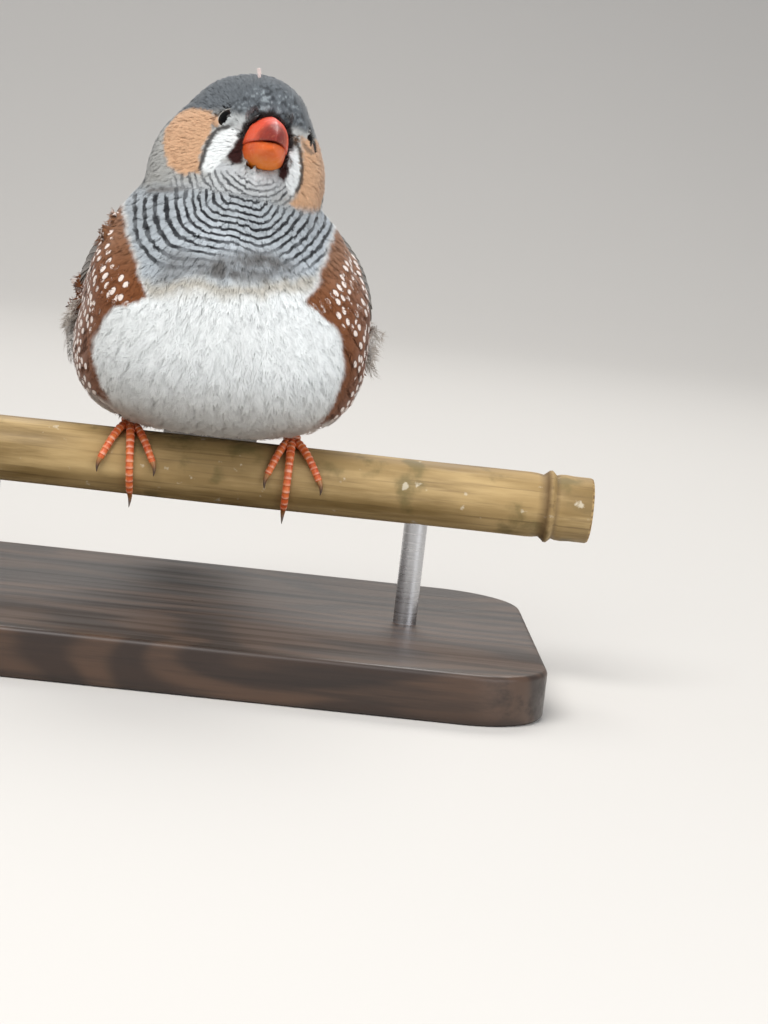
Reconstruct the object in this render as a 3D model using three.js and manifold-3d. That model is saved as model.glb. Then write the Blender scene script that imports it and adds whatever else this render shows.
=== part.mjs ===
// A male zebra finch at life size, fluffed up at rest, gripping a cut length of bamboo on a plain stand.
// Millimetres, +Z up. The bird faces -Y and its left side is +X. The origin is the middle of the stand's
// underside.
import * as THREE from "three";
import { mergeVertices } from "three/addons/utils/BufferGeometryUtils.js";
import Module from "manifold-3d";

const wasm = await Module();
wasm.setup();

const { Vector3, Matrix4 } = THREE;
const RAD = Math.PI / 180;

// Driving sizes
const GAP = 0.3; // clearance between neighbouring pieces
const BASE = { width: 100, depth: 72, thick: 7, corner: 12, bevel: 0.8 };
const ROD = { radius: 1.7, spacing: 62, sunk: 4, sides: 24 };
const PERCH = { radius: 4.7, length: 112, top: 31, wall: 2.8, node: 50, sides: 22 };
const HEAD = { x: 2.1, y: -6.5, rise: 41.6, yaw: 7, pitch: 14.5, roll: 8.2, skew: 0.24 };
const BILL = { root: 6.4, tip: 17.4, halfWidth: 3.25, culmen: 3.6, seam: -1.0, chin: -4.1, nostril: 0.45 };
const EYE = { side: 5.0, forward: 4.95, up: 2.2, radius: 1.8, lid: 0.5 };
const TOE = { radius: 0.62, tarsus: 0.8, start: 97 };
const FEET = {
  right: { x: -11.7, inner: 4.0, middle: 1.1, outer: -3.6, hind: 0.6 },
  left: { x: 11.75, inner: -3.1, middle: -0.2, outer: 4.5, hind: -0.5 },
};
const TAIL = { y: 19, rise: 8.0, slope: 27, length: 34, pairs: 6, width: 4.6, spread: 1.05 };
const VANE = { thick: 0.6, tilt: 0.2 };
const WING = { over: -0.7, flare: { right: 0.5, left: 0 } };

const perchAxis = PERCH.top - PERCH.radius;

// Colours
const PAINT = {
  white: [0xd9dcd9, 0.95],
  grey: [0x8d9598, 0.95],
  slate: [0x676c70, 0.95],
  brown: [0x6d6259, 0.9],
  dark: [0x2e2a28, 0.85],
  bill: [0xd8381c, 0.35],
  eye: [0x120d0b, 0.08],
  leg: [0xd9672f, 0.5],
  claw: [0x5a3f22, 0.4],
  bamboo: [0xa08457, 0.6],
  stand: [0x3a2c22, 0.5],
  steel: [0xb9bcc0, 0.3],
};

function paint(name) {
  const [color, roughness] = PAINT[name];
  return new THREE.MeshStandardMaterial({ color, roughness, metalness: name === "steel" ? 1 : 0 });
}

// Solids and geometry
function signedVolume(positions, index) {
  const [a, b, c] = [new Vector3(), new Vector3(), new Vector3()];
  let sum = 0;
  for (let i = 0; i < index.length; i += 3) {
    a.fromArray(positions, 3 * index[i]);
    b.fromArray(positions, 3 * index[i + 1]);
    c.fromArray(positions, 3 * index[i + 2]);
    sum += a.dot(b.cross(c));
  }
  return sum;
}

function toSolid(geometry) {
  const bare = geometry.clone();
  bare.deleteAttribute("normal");
  bare.deleteAttribute("uv");
  const merged = mergeVertices(bare, 1e-4);
  const positions = merged.attributes.position.array;
  const triVerts = new Uint32Array(merged.index.array);
  if (signedVolume(positions, triVerts) < 0)
    for (let i = 0; i < triVerts.length; i += 3)
      [triVerts[i + 1], triVerts[i + 2]] = [triVerts[i + 2], triVerts[i + 1]];
  return new wasm.Manifold(new wasm.Mesh({ numProp: 3, vertProperties: positions, triVerts }));
}

function toGeometry(solid) {
  const mesh = solid.getMesh();
  const geometry = new THREE.BufferGeometry();
  geometry.setAttribute("position", new THREE.BufferAttribute(mesh.vertProperties, 3));
  geometry.setIndex(new THREE.BufferAttribute(mesh.triVerts, 1));
  return geometry;
}

function union(solids) {
  return solids.reduce((joined, solid) => joined.add(solid));
}

function largest(solid) {
  return solid.decompose().reduce((best, piece) => (piece.volume() > best.volume() ? piece : best));
}

function indexed(points, index) {
  const geometry = new THREE.BufferGeometry();
  geometry.setAttribute("position", new THREE.Float32BufferAttribute(points.flatMap((p) => p.toArray()), 3));
  geometry.setIndex(index);
  return toSolid(geometry);
}

// A closed skin over rings of points, each ring with the same number of points.
function loft(rings) {
  const count = rings[0].length;
  const points = rings.flat();
  const index = [];
  for (let r = 0; r + 1 < rings.length; r++)
    for (let i = 0; i < count; i++) {
      const j = (i + 1) % count;
      const [a, b, c, d] = [r * count + i, r * count + j, (r + 1) * count + i, (r + 1) * count + j];
      index.push(a, b, c, b, d, c);
    }
  for (const [first, flip] of [[0, true], [(rings.length - 1) * count, false]]) {
    const middle = new Vector3();
    for (let i = 0; i < count; i++) middle.add(points[first + i]);
    points.push(middle.divideScalar(count));
    for (let i = 0; i < count; i++) {
      const [a, b] = [first + i, first + ((i + 1) % count)];
      index.push(points.length - 1, ...(flip ? [b, a] : [a, b]));
    }
  }
  return indexed(points, index);
}

function bumpedPower(value, power) {
  return Math.sign(value) * Math.abs(value) ** power;
}

// Values of the stations' keys at a place between 0, the first station, and 1, the last.
function stationAt(stations, place) {
  const last = stations.length - 1;
  const at = Math.min(place * last, last - 1e-9);
  const i = Math.floor(at);
  const [p, q, r, s] = [-1, 0, 1, 2].map((k) => stations[Math.min(Math.max(i + k, 0), last)]);
  const t = at - i;
  return q.map((_, k) => {
    const bend = 2 * p[k] - 5 * q[k] + 4 * r[k] - s[k];
    const twist = -p[k] + 3 * q[k] - 3 * r[k] + s[k];
    return q[k] + 0.5 * t * (r[k] - p[k] + t * (bend + t * twist));
  });
}

// One section of the trunk. Each station gives the back's y and rise, the belly's y and rise, the
// half-width, how far down from the back the widest place lies, how square the belly's half is, and a shift
// to the left.
function trunkRing(station, grow, sides) {
  const [backY, backRise, bellyY, bellyRise, halfWidth, widest, square, shift] = station;
  const back = new Vector3(0, backY, PERCH.top + backRise);
  const belly = new Vector3(0, bellyY, PERCH.top + bellyRise);
  const centre = back.clone().lerp(belly, widest);
  const down = belly.clone().sub(back).normalize();
  const [toBelly, toBack] = [centre.distanceTo(belly) + grow, centre.distanceTo(back) + grow];
  return Array.from({ length: sides }, (_, i) => {
    const angle = (2 * Math.PI * i) / sides;
    const [c, s] = [Math.cos(angle), Math.sin(angle)];
    const power = 2 / (s > 0 ? square : 2.1);
    const side = shift + (halfWidth + grow) * bumpedPower(c, power);
    const reach = (s > 0 ? toBelly : toBack) * bumpedPower(s, power);
    return centre.clone().addScaledVector(down, reach).setX(side);
  });
}

const TRUNK = [
  [28.4, 6.4, 26.6, 2.2, 2.4, 0.5, 2.0, 0],
  [26.8, 10.2, 22.6, -1.0, 6.4, 0.5, 2.1, 0],
  [23.6, 15.6, 14.6, -1.2, 12.4, 0.5, 2.4, -0.1],
  [19.8, 21.4, 5.6, 0.6, 18.0, 0.5, 2.8, -0.2],
  [15.8, 26.6, -3.8, 0.7, 20.8, 0.52, 2.9, -0.2],
  [12.0, 31.0, -11.8, 3.2, 21.0, 0.53, 2.6, 0.3],
  [9.0, 34.4, -16.6, 9.0, 20.2, 0.53, 2.5, 0.5],
  [7.0, 37.0, -18.4, 16.0, 18.1, 0.53, 2.35, -0.6],
  [5.8, 39.4, -18.6, 22.6, 14.3, 0.5, 2.2, -1.0],
  [5.0, 41.6, -17.4, 28.4, 11.8, 0.5, 2.1, -1.0],
  [4.4, 43.8, -15.4, 32.8, 10.8, 0.5, 2.0, -0.8],
  [3.0, 46.0, -12.6, 36.4, 10.0, 0.5, 2.0, -0.4],
];

function trunk(grow = 0, steps = 22, sides = 28) {
  const places = Array.from({ length: steps + 1 }, (_, i) => i / steps);
  return loft(places.map((place) => trunkRing(stationAt(TRUNK, place), grow, sides)));
}

// The head's own frame: +X is its left, -Y its front and +Z its crown.
const headFrame = new Matrix4()
  .makeTranslation(HEAD.x, HEAD.y, PERCH.top + HEAD.rise)
  .multiply(new Matrix4().makeRotationY(HEAD.roll * RAD))
  .multiply(new Matrix4().makeRotationZ(HEAD.yaw * RAD))
  .multiply(new Matrix4().makeRotationX(-HEAD.pitch * RAD));

function onHead(side, forward, up) {
  return new Vector3(side, -forward, up).applyMatrix4(headFrame);
}

// The fluffed back of the head lies a little to the right of its middle plane.
function skewed(side, forward) {
  return side - HEAD.skew * Math.max(5 - forward, 0);
}

// Level slices of the head from throat to crown: height, half-width, reach forward, reach back, and how
// far ahead of the middle the widest place lies.
const SKULL = [
  [-14.5, 8.0, 5.5, 10.0, -1.0],
  [-11.5, 11.0, 8.0, 11.8, -1.0],
  [-8.0, 12.0, 9.4, 12.6, -1.0],
  [-4.6, 12.3, 9.6, 13.0, -1.2],
  [-1.6, 12.0, 9.6, 13.0, -1.4],
  [1.0, 11.2, 9.6, 12.8, -1.6],
  [3.6, 9.6, 9.3, 12.0, -1.6],
  [6.0, 8.0, 8.6, 11.0, -1.4],
  [8.2, 6.7, 7.0, 9.2, -1.2],
  [9.9, 4.6, 4.8, 6.6, -1.0],
  [10.9, 1.8, 1.9, 2.8, -0.8],
];

function skull(grow = 0, steps = 18, sides = 28) {
  const rings = Array.from({ length: steps + 1 }, (_, k) => {
    const [up, halfWidth, front, behind, widest] = stationAt(SKULL, k / steps);
    return Array.from({ length: sides }, (_, i) => {
      const angle = (2 * Math.PI * i) / sides;
      const [c, s] = [Math.cos(angle), Math.sin(angle)];
      const power = 2 / (s > 0 ? 1.65 : 2.1);
      const reach = (s > 0 ? front - widest : behind + widest) + grow;
      const forward = widest + reach * bumpedPower(s, power);
      return onHead(skewed((halfWidth + grow) * bumpedPower(c, power), forward), forward, up);
    });
  });
  return loft(rings);
}

// A ball, or an egg when its three radii differ, in the head's frame.
function headBall(side, forward, up, radii, segments = 14) {
  const geometry = new THREE.SphereGeometry(1, segments, Math.round(segments * 0.7));
  geometry.scale(...radii).translate(skewed(side, forward), -forward, up).applyMatrix4(headFrame);
  return toSolid(geometry);
}

// One half of the bill as D-shaped sections from its root in the face to its tip.
function mandible({ root, tip, halfWidth, blunt, seam, seamTip, far, farTip }, grow = 0) {
  const [steps, half] = [9, 8];
  const up = Math.sign(far - seam);
  const rings = Array.from({ length: steps + 1 }, (_, k) => {
    const along = k / steps;
    const forward = THREE.MathUtils.lerp(root - grow, tip, along);
    const taper = 0.05 + 0.95 * (1 - along ** 1.7) ** blunt;
    const side = halfWidth * taper + grow;
    const flat = THREE.MathUtils.lerp(seam, seamTip, along ** 2) - up * grow;
    const arch = farTip + (far - farTip) * taper + up * grow - flat;
    const ring = [];
    for (let i = 0; i <= half; i++) {
      const angle = (Math.PI * i) / half;
      ring.push(onHead(side * Math.cos(angle), forward, flat + arch * Math.sin(angle) ** 0.9));
    }
    for (const share of [-0.5, 0, 0.5]) ring.push(onHead(side * share, forward, flat - up * 0.04));
    return ring;
  });
  return loft(rings);
}

const UPPER = {
  root: BILL.root, tip: BILL.tip, halfWidth: BILL.halfWidth, blunt: 0.8,
  seam: BILL.seam, seamTip: BILL.seam - 0.6, far: BILL.culmen, farTip: BILL.seam - 0.2,
};
const LOWER = {
  root: BILL.root, tip: BILL.tip - 1.3, halfWidth: BILL.halfWidth - 0.2, blunt: 0.75,
  seam: BILL.seam - GAP, seamTip: BILL.seam - 0.6 - GAP, far: BILL.chin, farTip: BILL.seam - 1.3,
};

function eyeBall(side, grow = 0) {
  return headBall(side * EYE.side, EYE.forward, EYE.up, [1, 1, 1].map((k) => k * (EYE.radius + grow)));
}

// The lids: a ring that stands a little out of the face round the eye.
function lids(side) {
  const axis = new Vector3(side * 0.78, -0.61, 0.1).normalize();
  const geometry = new THREE.TorusGeometry(EYE.radius - 0.15, EYE.lid, 6, 16);
  geometry.applyQuaternion(new THREE.Quaternion().setFromUnitVectors(new Vector3(0, 0, 1), axis));
  const out = axis.clone().multiplyScalar(EYE.radius * 0.55);
  const middle = skewed(side * EYE.side, EYE.forward);
  geometry.translate(middle + out.x, out.y - EYE.forward, EYE.up + out.z).applyMatrix4(headFrame);
  return toSolid(geometry);
}

// A round tube along points, with a radius for each. Its rings are turned to the tube's sideways direction.
function tube(points, radii, sides = 7) {
  const rings = points.map((point, k) => {
    const next = points[Math.min(k + 1, points.length - 1)];
    const along = next.clone().sub(points[Math.max(k - 1, 0)]).normalize();
    const across = new Vector3(1, 0, 0).addScaledVector(along, -along.x).normalize();
    const outward = across.clone().cross(along);
    return Array.from({ length: sides }, (_, i) => {
      const angle = (2 * Math.PI * i) / sides;
      const turned = across.clone().multiplyScalar(Math.cos(angle)).addScaledVector(outward, Math.sin(angle));
      return point.clone().addScaledVector(turned, radii[k]);
    });
  });
  return loft(rings);
}

// Toes run round the perch. Angles are measured about its axis: 0 is level in front, 90 is its top.
const TOES = { inner: 8, middle: -52, outer: 6, hind: 184 };

function roundPerch(x, angle, away) {
  const reach = PERCH.radius + GAP + away;
  return new Vector3(x, -reach * Math.cos(angle * RAD), perchAxis + reach * Math.sin(angle * RAD));
}

function toe(foot, name, grow) {
  const steps = name === "middle" ? 12 : 7;
  const [points, radii] = [[], []];
  for (let k = 0; k <= steps; k++) {
    const along = k / steps;
    const pad = 1 - 0.2 * along + 0.07 * Math.cos(along * 6 * Math.PI);
    radii.push(TOE.radius * pad + grow);
    const angle = THREE.MathUtils.lerp(TOE.start, TOES[name], along);
    points.push(roundPerch(foot.x + foot[name] * along, angle, TOE.radius * pad));
  }
  return tube(points, radii);
}

function leg(foot, grow = 0) {
  const hub = roundPerch(foot.x, TOE.start, TOE.radius + 0.3);
  const knee = new Vector3(foot.x * 0.88, hub.y + 3.6, PERCH.top + 7);
  const steps = [0, 0.2, 0.4, 0.6, 0.8, 1];
  const shank = tube(
    steps.map((t) => hub.clone().lerp(knee, t)),
    steps.map((t) => TOE.tarsus * (1.1 - 0.5 * t * (1 - t)) + grow),
  );
  const palm = new THREE.SphereGeometry(1.05 + grow, 12, 8);
  palm.translate(hub.x, hub.y, hub.z + 0.1);
  return union([shank, toSolid(palm), ...Object.keys(TOES).map((name) => toe(foot, name, grow))]);
}

// A claw carries its toe on, past a small gap, and bends on down.
function claw(foot, name) {
  const backward = name === "hind" ? -1 : 1;
  const long = { inner: 2.2, middle: 2.7, outer: 2.2, hind: 3.2 }[name];
  const root = roundPerch(foot.x + foot[name], TOES[name], TOE.radius * 0.87);
  const before = roundPerch(foot.x + foot[name] * 0.9, TOES[name] + 8 * backward, TOE.radius * 0.87);
  const along = root.clone().sub(before).normalize();
  const down = new Vector3(0, name === "middle" ? -0.55 : -0.1 * backward, -1).normalize();
  const [points, radii] = [[], []];
  for (let k = 0; k <= 5; k++) {
    const t = k / 5;
    const far = GAP + 0.15 + long * t;
    const bend = t * 0.75;
    const heading = along.clone().lerp(down, bend);
    points.push(root.clone().addScaledVector(heading, far));
    radii.push(0.44 * (1 - t) ** 0.8 + 0.06);
  }
  return tube(points, radii, 7);
}

// The width of a vane along its length, as a share of the widest.
function vaneWidth(t) {
  if (t < 0.2) return 0.72 + 1.4 * t;
  return t < 0.5 ? 1 : 0.14 + 0.86 * Math.sqrt(1 - ((t - 0.5) / 0.5) ** 2);
}

// A vane is a thin curved feather. place(along, across) gives a point of the sheet that it lies on and the
// sheet's outward direction. Both faces are split into triangles alike.
function vane(place, { from, to, width, lift = 0, tilt = 0, rows = 5 }) {
  const [top, under] = [[], []];
  for (let k = 0; k <= rows; k++) {
    const t = 1 - (1 - k / rows) ** 1.25;
    const along = THREE.MathUtils.lerp(from[0], to[0], t);
    const across = THREE.MathUtils.lerp(from[1], to[1], t);
    for (const edge of [-1, 1]) {
      const shift = (edge * width * vaneWidth(t)) / 2;
      const { point, out } = place(along, across + shift);
      const height = lift - tilt * shift;
      top.push(point.clone().addScaledVector(out, height));
      under.push(point.clone().addScaledVector(out, height - VANE.thick * (k === rows ? 0.7 : 1)));
    }
  }
  const points = [...top, ...under];
  const shift = top.length;
  const index = [];
  const rim = [];
  for (let k = 0; k < rows; k++) {
    const [a, b, c, d] = [2 * k, 2 * k + 1, 2 * k + 2, 2 * k + 3];
    for (const [p, q, r] of [[a, b, d], [a, d, c]]) {
      index.push(p, q, r, shift + p, shift + r, shift + q);
    }
    rim.push([a, c]);
    rim.push([d, b]);
  }
  rim.push([1, 0], [2 * rows, 2 * rows + 1]);
  for (const [p, q] of rim) index.push(p, q, shift + q, p, shift + q, shift + p);
  return indexed(points, index);
}

// The tail's own sheet: along runs back and down from the rump, across is sideways, and the sheet is arched.
function onTail(along, across) {
  const slope = TAIL.slope * RAD;
  const back = new Vector3(0, Math.cos(slope), -Math.sin(slope));
  const out = new Vector3(0, Math.sin(slope), Math.cos(slope));
  const point = new Vector3(across, TAIL.y, PERCH.top + TAIL.rise).addScaledVector(back, along);
  point.addScaledVector(out, -0.02 * across * across);
  return { point, out, back };
}

function tail() {
  const feathers = [];
  for (let j = 0; j < TAIL.pairs; j++)
    for (const side of [-1, 1]) {
      const [root, tip] = [side * (0.5 + 0.55 * j), side * (0.55 + TAIL.spread * j)];
      const long = TAIL.length - 0.12 * j * j - (side > 0 ? 0.5 : 0);
      const lift = -0.3 * j - (side > 0 ? 0.15 : 0);
      feathers.push(vane(onTail, { from: [1, root], to: [long, tip], width: TAIL.width, lift }));
    }
  for (let j = 0; j < 3; j++)
    for (const side of [-1, 1]) {
      const long = 20 - 3.2 * j - (side > 0 ? 1.2 : 0);
      const across = side * (0.9 + 1.5 * j);
      const lift = 0.95 - 0.25 * j - (side > 0 ? 0.12 : 0);
      const ends = { from: [1, across], to: [long, across * 1.15] };
      feathers.push(vane(onTail, { ...ends, width: 4.8, lift, rows: 4 }));
    }
  const core = Array.from({ length: 8 }, (_, k) => {
    const t = k / 7;
    const { point, out } = onTail(THREE.MathUtils.lerp(-1, 17, t), 0);
    const [wide, deep] = [5.6 - 2.2 * t * t, 4.6 - 3.9 * t];
    point.addScaledVector(out, 0.5 - 0.9 * t - deep / 2);
    return Array.from({ length: 16 }, (_, i) => {
      const angle = (2 * Math.PI * i) / 16;
      const height = (deep / 2) * Math.sin(angle);
      return point.clone().addScaledVector(out, height).setX(wide * Math.cos(angle));
    });
  });
  return union([loft(core), ...feathers]);
}

// How far the trunk's surface stands out from a point, along a direction that leads out of the body.
const bothSides = new THREE.MeshBasicMaterial({ side: THREE.DoubleSide });
const trunkSkin = new THREE.Mesh(toGeometry(trunk()), bothSides);
const probe = new THREE.Raycaster();

function trunkHeight(point, out) {
  const away = 25;
  probe.set(point.clone().addScaledVector(out, away), out.clone().negate());
  const [hit] = probe.intersectObject(trunkSkin);
  return hit ? away - hit.distance : -away;
}

// The folded wing's sheet: along is millimetres from the wrist to the tip, across is up over the back from
// the wing's middle line. It is draped over the trunk. side is 1 for the left wing, and flare lets it hang
// loose.
const WING_LINE = new THREE.CubicBezierCurve3(
  new Vector3(15.5, 0.5, 27.0),
  new Vector3(22.0, 5.0, 24.0),
  new Vector3(18.2, 18, 14),
  new Vector3(8.2, 37, 2.6),
);
const WING_REACH = WING_LINE.getLength();

function onWing(side, flare) {
  return (along, across) => {
    const t = Math.min(Math.max(along / WING_REACH, 0), 1);
    const centre = WING_LINE.getPoint(t);
    const back = WING_LINE.getTangent(t);
    centre.addScaledVector(back, Math.min(along, 0));
    const up = new Vector3(-0.4 - 0.2 * t, 0.35 - 0.05 * t, 0.82 - 0.09 * t);
    up.addScaledVector(back, -up.dot(back)).normalize();
    const out = back.clone().cross(up);
    const camber = 0.028 + 0.012 * t;
    const point = centre.addScaledVector(up, across).addScaledVector(out, -camber * across * across);
    point.x += flare * Math.sin(Math.PI * Math.min(t * 1.25, 1));
    out.addScaledVector(up, 2 * camber * across).normalize();
    const place = { point: new Vector3(side * point.x, point.y, PERCH.top + point.z) };
    place.out = new Vector3(side * out.x, out.y, out.z);
    const height = trunkHeight(place.point, place.out) + WING.over;
    place.point.addScaledVector(place.out, (height + Math.hypot(height, 0.8)) / 2);
    return place;
  };
}

// Tiers of the folded wing: how many vanes, the lowest and highest vane's root and tip, width and lift.
const TIERS = [
  { count: 6, roots: [[14, -4.0], [16, -0.5]], tips: [[33, -4.8], [53, 0.4]], width: 4.8, lift: -0.6 },
  { count: 6, roots: [[8, -3.2], [9, 4.6]], tips: [[29, -3.8], [27, 4.6]], width: 5.2, lift: -0.1 },
  { count: 6, roots: [[4, -4.2], [4, 5.4]], tips: [[16, -4.6], [18, 5.4]], width: 4.4, lift: 0.3, rows: 4 },
  { count: 5, roots: [[1, -3.4], [1, 4.2]], tips: [[10, -4.0], [11, 4.8]], width: 4.4, lift: 0.65, rows: 4 },
];

// A smooth lens along the wing's sheet, from its shoulder to a given length.
function wingLens(place, { length, half, high, deep, steps = 9, sides = 12 }) {
  return loft(
    Array.from({ length: steps + 1 }, (_, k) => {
      const t = k / steps;
      const along = THREE.MathUtils.lerp(-1.5, length, t);
      const wide = half * (0.18 + 0.82 * Math.sin(Math.PI * Math.min(0.06 + 0.94 * t, 1)) ** 0.55);
      return Array.from({ length: sides }, (_, i) => {
        const angle = (2 * Math.PI * i) / sides;
        const { point, out } = place(along, wide * Math.cos(angle) + 0.4);
        const s = Math.sin(angle);
        return point.addScaledVector(out, s > 0 ? s * high(t) : s * deep(t));
      });
    }),
  );
}

function wing(side, flare) {
  const place = onWing(side, flare);
  const feathers = TIERS.flatMap(({ count, roots, tips, ...form }) =>
    Array.from({ length: count }, (_, j) => {
      const t = j / (count - 1);
      const between = ([p, q]) => p.map((value, k) => THREE.MathUtils.lerp(value, q[k], t));
      return vane(place, { from: between(roots), to: between(tips), tilt: VANE.tilt, ...form });
    }),
  );
  const high = (t) => THREE.MathUtils.lerp(0.5, -0.55, Math.min(Math.max((t - 0.15) / 0.35, 0), 1));
  const core = wingLens(place, { length: 38, half: 6.6, high, deep: (t) => 1.9 - 0.7 * t });
  return union([core, ...feathers]);
}

// The hollow in the body's coat that a wing lies in.
function wingBed(side, flare, grow = 0) {
  const place = onWing(side, flare);
  const deep = (t) => (2.2 + grow) * Math.min(1, 3.5 - 3.5 * t + 0.2);
  return wingLens(place, { length: 42 + grow, half: 8.3 + grow, high: () => 3, deep });
}

function slab(y, rise, tilt) {
  const geometry = new THREE.BoxGeometry(90, 90, GAP);
  return toSolid(geometry.rotateX(tilt * RAD).translate(0, y, PERCH.top + rise));
}

// Flesh and coat of the trunk and head, parted by thin cuts into torso, neck and head.
function bodyPieces() {
  const whole = trunk().add(skull());
  const pieces = whole.subtract(slab(-6, 36.6, 6)).subtract(slab(-6, 33, 20)).decompose();
  const height = (piece) => piece.boundingBox().min[2] + piece.boundingBox().max[2];
  const bySize = pieces.sort((p, q) => q.volume() - p.volume());
  return bySize.slice(0, 3).sort((p, q) => height(p) - height(q));
}

// The bamboo perch along X, with a node ring and a shallow bore in each cut end.
function perch(grow = 0) {
  const [r, half, ring] = [PERCH.radius + grow, PERCH.length / 2 + grow, PERCH.node];
  const bore = PERCH.radius - PERCH.wall;
  const profile = [[0, -half + 4], [bore, -half + 4], [bore, -half], [r - 0.3, -half], [r, -half + 0.3]];
  profile.push([r, ring - 2.4], [r - 0.25, ring - 1.1], [r + 0.55, ring - 0.5], [r + 0.55, ring + 0.1]);
  profile.push([r - 0.1, ring + 0.6], [r + 0.1, ring + 2], [r, half - 0.3], [r - 0.3, half], [bore, half]);
  profile.push([bore, half - 4], [0, half - 4]);
  const solidEnds = profile.slice(3, -3);
  const outline = grow ? [[0, -half], ...solidEnds, [0, half]] : profile;
  const geometry = new THREE.LatheGeometry(outline.map(([x, y]) => new THREE.Vector2(x, y)), PERCH.sides);
  return toSolid(geometry.rotateZ(-90 * RAD).translate(0, 0, perchAxis));
}

function rod(side, grow = 0) {
  const [low, high] = [BASE.thick - ROD.sunk - grow, perchAxis + 1 + grow];
  const geometry = new THREE.CylinderGeometry(ROD.radius + grow, ROD.radius + grow, high - low, ROD.sides);
  geometry.rotateX(90 * RAD).translate((side * ROD.spacing) / 2, 0, (low + high) / 2);
  return toSolid(geometry);
}

function standBase() {
  const [w, d, c] = [BASE.width / 2, BASE.depth / 2, BASE.corner];
  const outline = new THREE.Shape();
  outline.moveTo(-w + c, -d).lineTo(w - c, -d).absarc(w - c, -d + c, c, -Math.PI / 2, 0);
  outline.lineTo(w, d - c).absarc(w - c, d - c, c, 0, Math.PI / 2);
  outline.lineTo(-w + c, d).absarc(-w + c, d - c, c, Math.PI / 2, Math.PI);
  outline.lineTo(-w, -d + c).absarc(-w + c, -d + c, c, Math.PI, 1.5 * Math.PI);
  const { bevel, thick } = BASE;
  const geometry = new THREE.ExtrudeGeometry(outline, {
    depth: thick - 2 * bevel,
    bevelThickness: bevel,
    bevelSize: bevel,
    bevelOffset: -bevel,
    bevelSegments: 1,
    curveSegments: 6,
    steps: 1,
  });
  return toSolid(geometry.translate(0, 0, bevel));
}

const group = new THREE.Group();

function add(name, solid, colour) {
  const mesh = new THREE.Mesh(toGeometry(largest(solid)), paint(colour));
  mesh.name = name;
  group.add(mesh);
}

const rods = [-1, 1].map((side) => [rod(side), rod(side, GAP)]);
const rodRoom = rods[0][1].add(rods[1][1]);
add("stand_base", standBase().subtract(rodRoom), "stand");
add("stand_rod_right", rods[0][0], "steel");
add("stand_rod_left", rods[1][0], "steel");
add("perch", perch().subtract(rodRoom), "bamboo");

const legRoom = leg(FEET.right, GAP).add(leg(FEET.left, GAP));
const wings = { right: -1, left: 1 };
const beds = union(Object.entries(wings).map(([name, side]) => wingBed(side, WING.flare[name])));
const [torso, neck, crown] = bodyPieces();
add("torso", torso.subtract(beds).subtract(legRoom).subtract(perch(GAP)), "white");
add("neck", neck, "grey");

const eyeRoom = [-1, 1].map((side) => eyeBall(side, GAP));
const billRoom = mandible(UPPER, GAP).add(mandible(LOWER, GAP));
add("head", union([crown, lids(-1), lids(1)]).subtract(union([...eyeRoom, billRoom])), "slate");
add("eye_right", eyeBall(-1), "eye");
add("eye_left", eyeBall(1), "eye");
const nostrils = [-1, 1].map((side) => headBall(side * 1.9, 9.3, 2.0, Array(3).fill(BILL.nostril), 8));
add("bill_upper", mandible(UPPER).subtract(union(nostrils)), "bill");
add("bill_lower", mandible(LOWER), "bill");

add("tail", tail().subtract(trunk(GAP)), "dark");
for (const [name, side] of Object.entries(wings)) {
  const flare = WING.flare[name];
  const body = trunk(GAP).subtract(wingBed(side, flare, -GAP));
  add(`wing_${name}`, wing(side, flare).subtract(body), "brown");
}

for (const [side, foot] of Object.entries(FEET)) {
  add(`leg_${side}`, leg(foot), "leg");
  for (const name of Object.keys(TOES)) add(`claw_${side}_${name}`, claw(foot, name), "claw");
}

export default group;
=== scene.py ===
"""A male zebra finch at life size, fluffed up at rest on a cut length of bamboo over a plain stand.

Lengths in this file are millimetres until a mesh is made, which is in metres. +Z is up, the bird faces -Y and
its left side is +X. "Rise" is a height above the top of the perch.
"""

import logging
import math
from dataclasses import dataclass, field, fields
from enum import Enum
from typing import Callable, ClassVar, Iterable, Sequence

import bpy
import numpy as np
from mathutils import Matrix, Vector
from mathutils.bvhtree import BVHTree
from mathutils.kdtree import KDTree


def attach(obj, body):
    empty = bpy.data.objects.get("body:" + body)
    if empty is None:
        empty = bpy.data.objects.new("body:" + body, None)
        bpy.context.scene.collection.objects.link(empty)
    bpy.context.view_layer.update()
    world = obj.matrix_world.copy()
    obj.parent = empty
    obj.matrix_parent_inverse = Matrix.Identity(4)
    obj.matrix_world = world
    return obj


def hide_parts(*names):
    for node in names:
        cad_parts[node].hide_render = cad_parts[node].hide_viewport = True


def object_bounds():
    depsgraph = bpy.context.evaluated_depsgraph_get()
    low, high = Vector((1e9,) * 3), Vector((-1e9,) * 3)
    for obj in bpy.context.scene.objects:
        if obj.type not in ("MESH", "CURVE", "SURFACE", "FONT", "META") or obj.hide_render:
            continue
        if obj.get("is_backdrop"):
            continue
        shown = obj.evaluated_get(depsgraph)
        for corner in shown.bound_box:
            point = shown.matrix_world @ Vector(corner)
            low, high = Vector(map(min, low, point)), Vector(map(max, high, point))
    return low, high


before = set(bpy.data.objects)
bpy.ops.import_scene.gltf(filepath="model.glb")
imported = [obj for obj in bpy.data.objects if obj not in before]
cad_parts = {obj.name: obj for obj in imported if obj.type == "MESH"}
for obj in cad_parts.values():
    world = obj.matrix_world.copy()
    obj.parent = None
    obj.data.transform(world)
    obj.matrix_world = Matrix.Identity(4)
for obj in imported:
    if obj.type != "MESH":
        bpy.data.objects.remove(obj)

Array = np.ndarray
Pair = tuple[float, float]
Triple = tuple[float, float, float]
Line = Sequence[Pair]
Draws = np.random.Generator
Material = bpy.types.Material
Socket = bpy.types.NodeSocket
MM = 0.001
PERCH_TOP = 31.0
PERCH_RADIUS = 4.7
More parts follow.
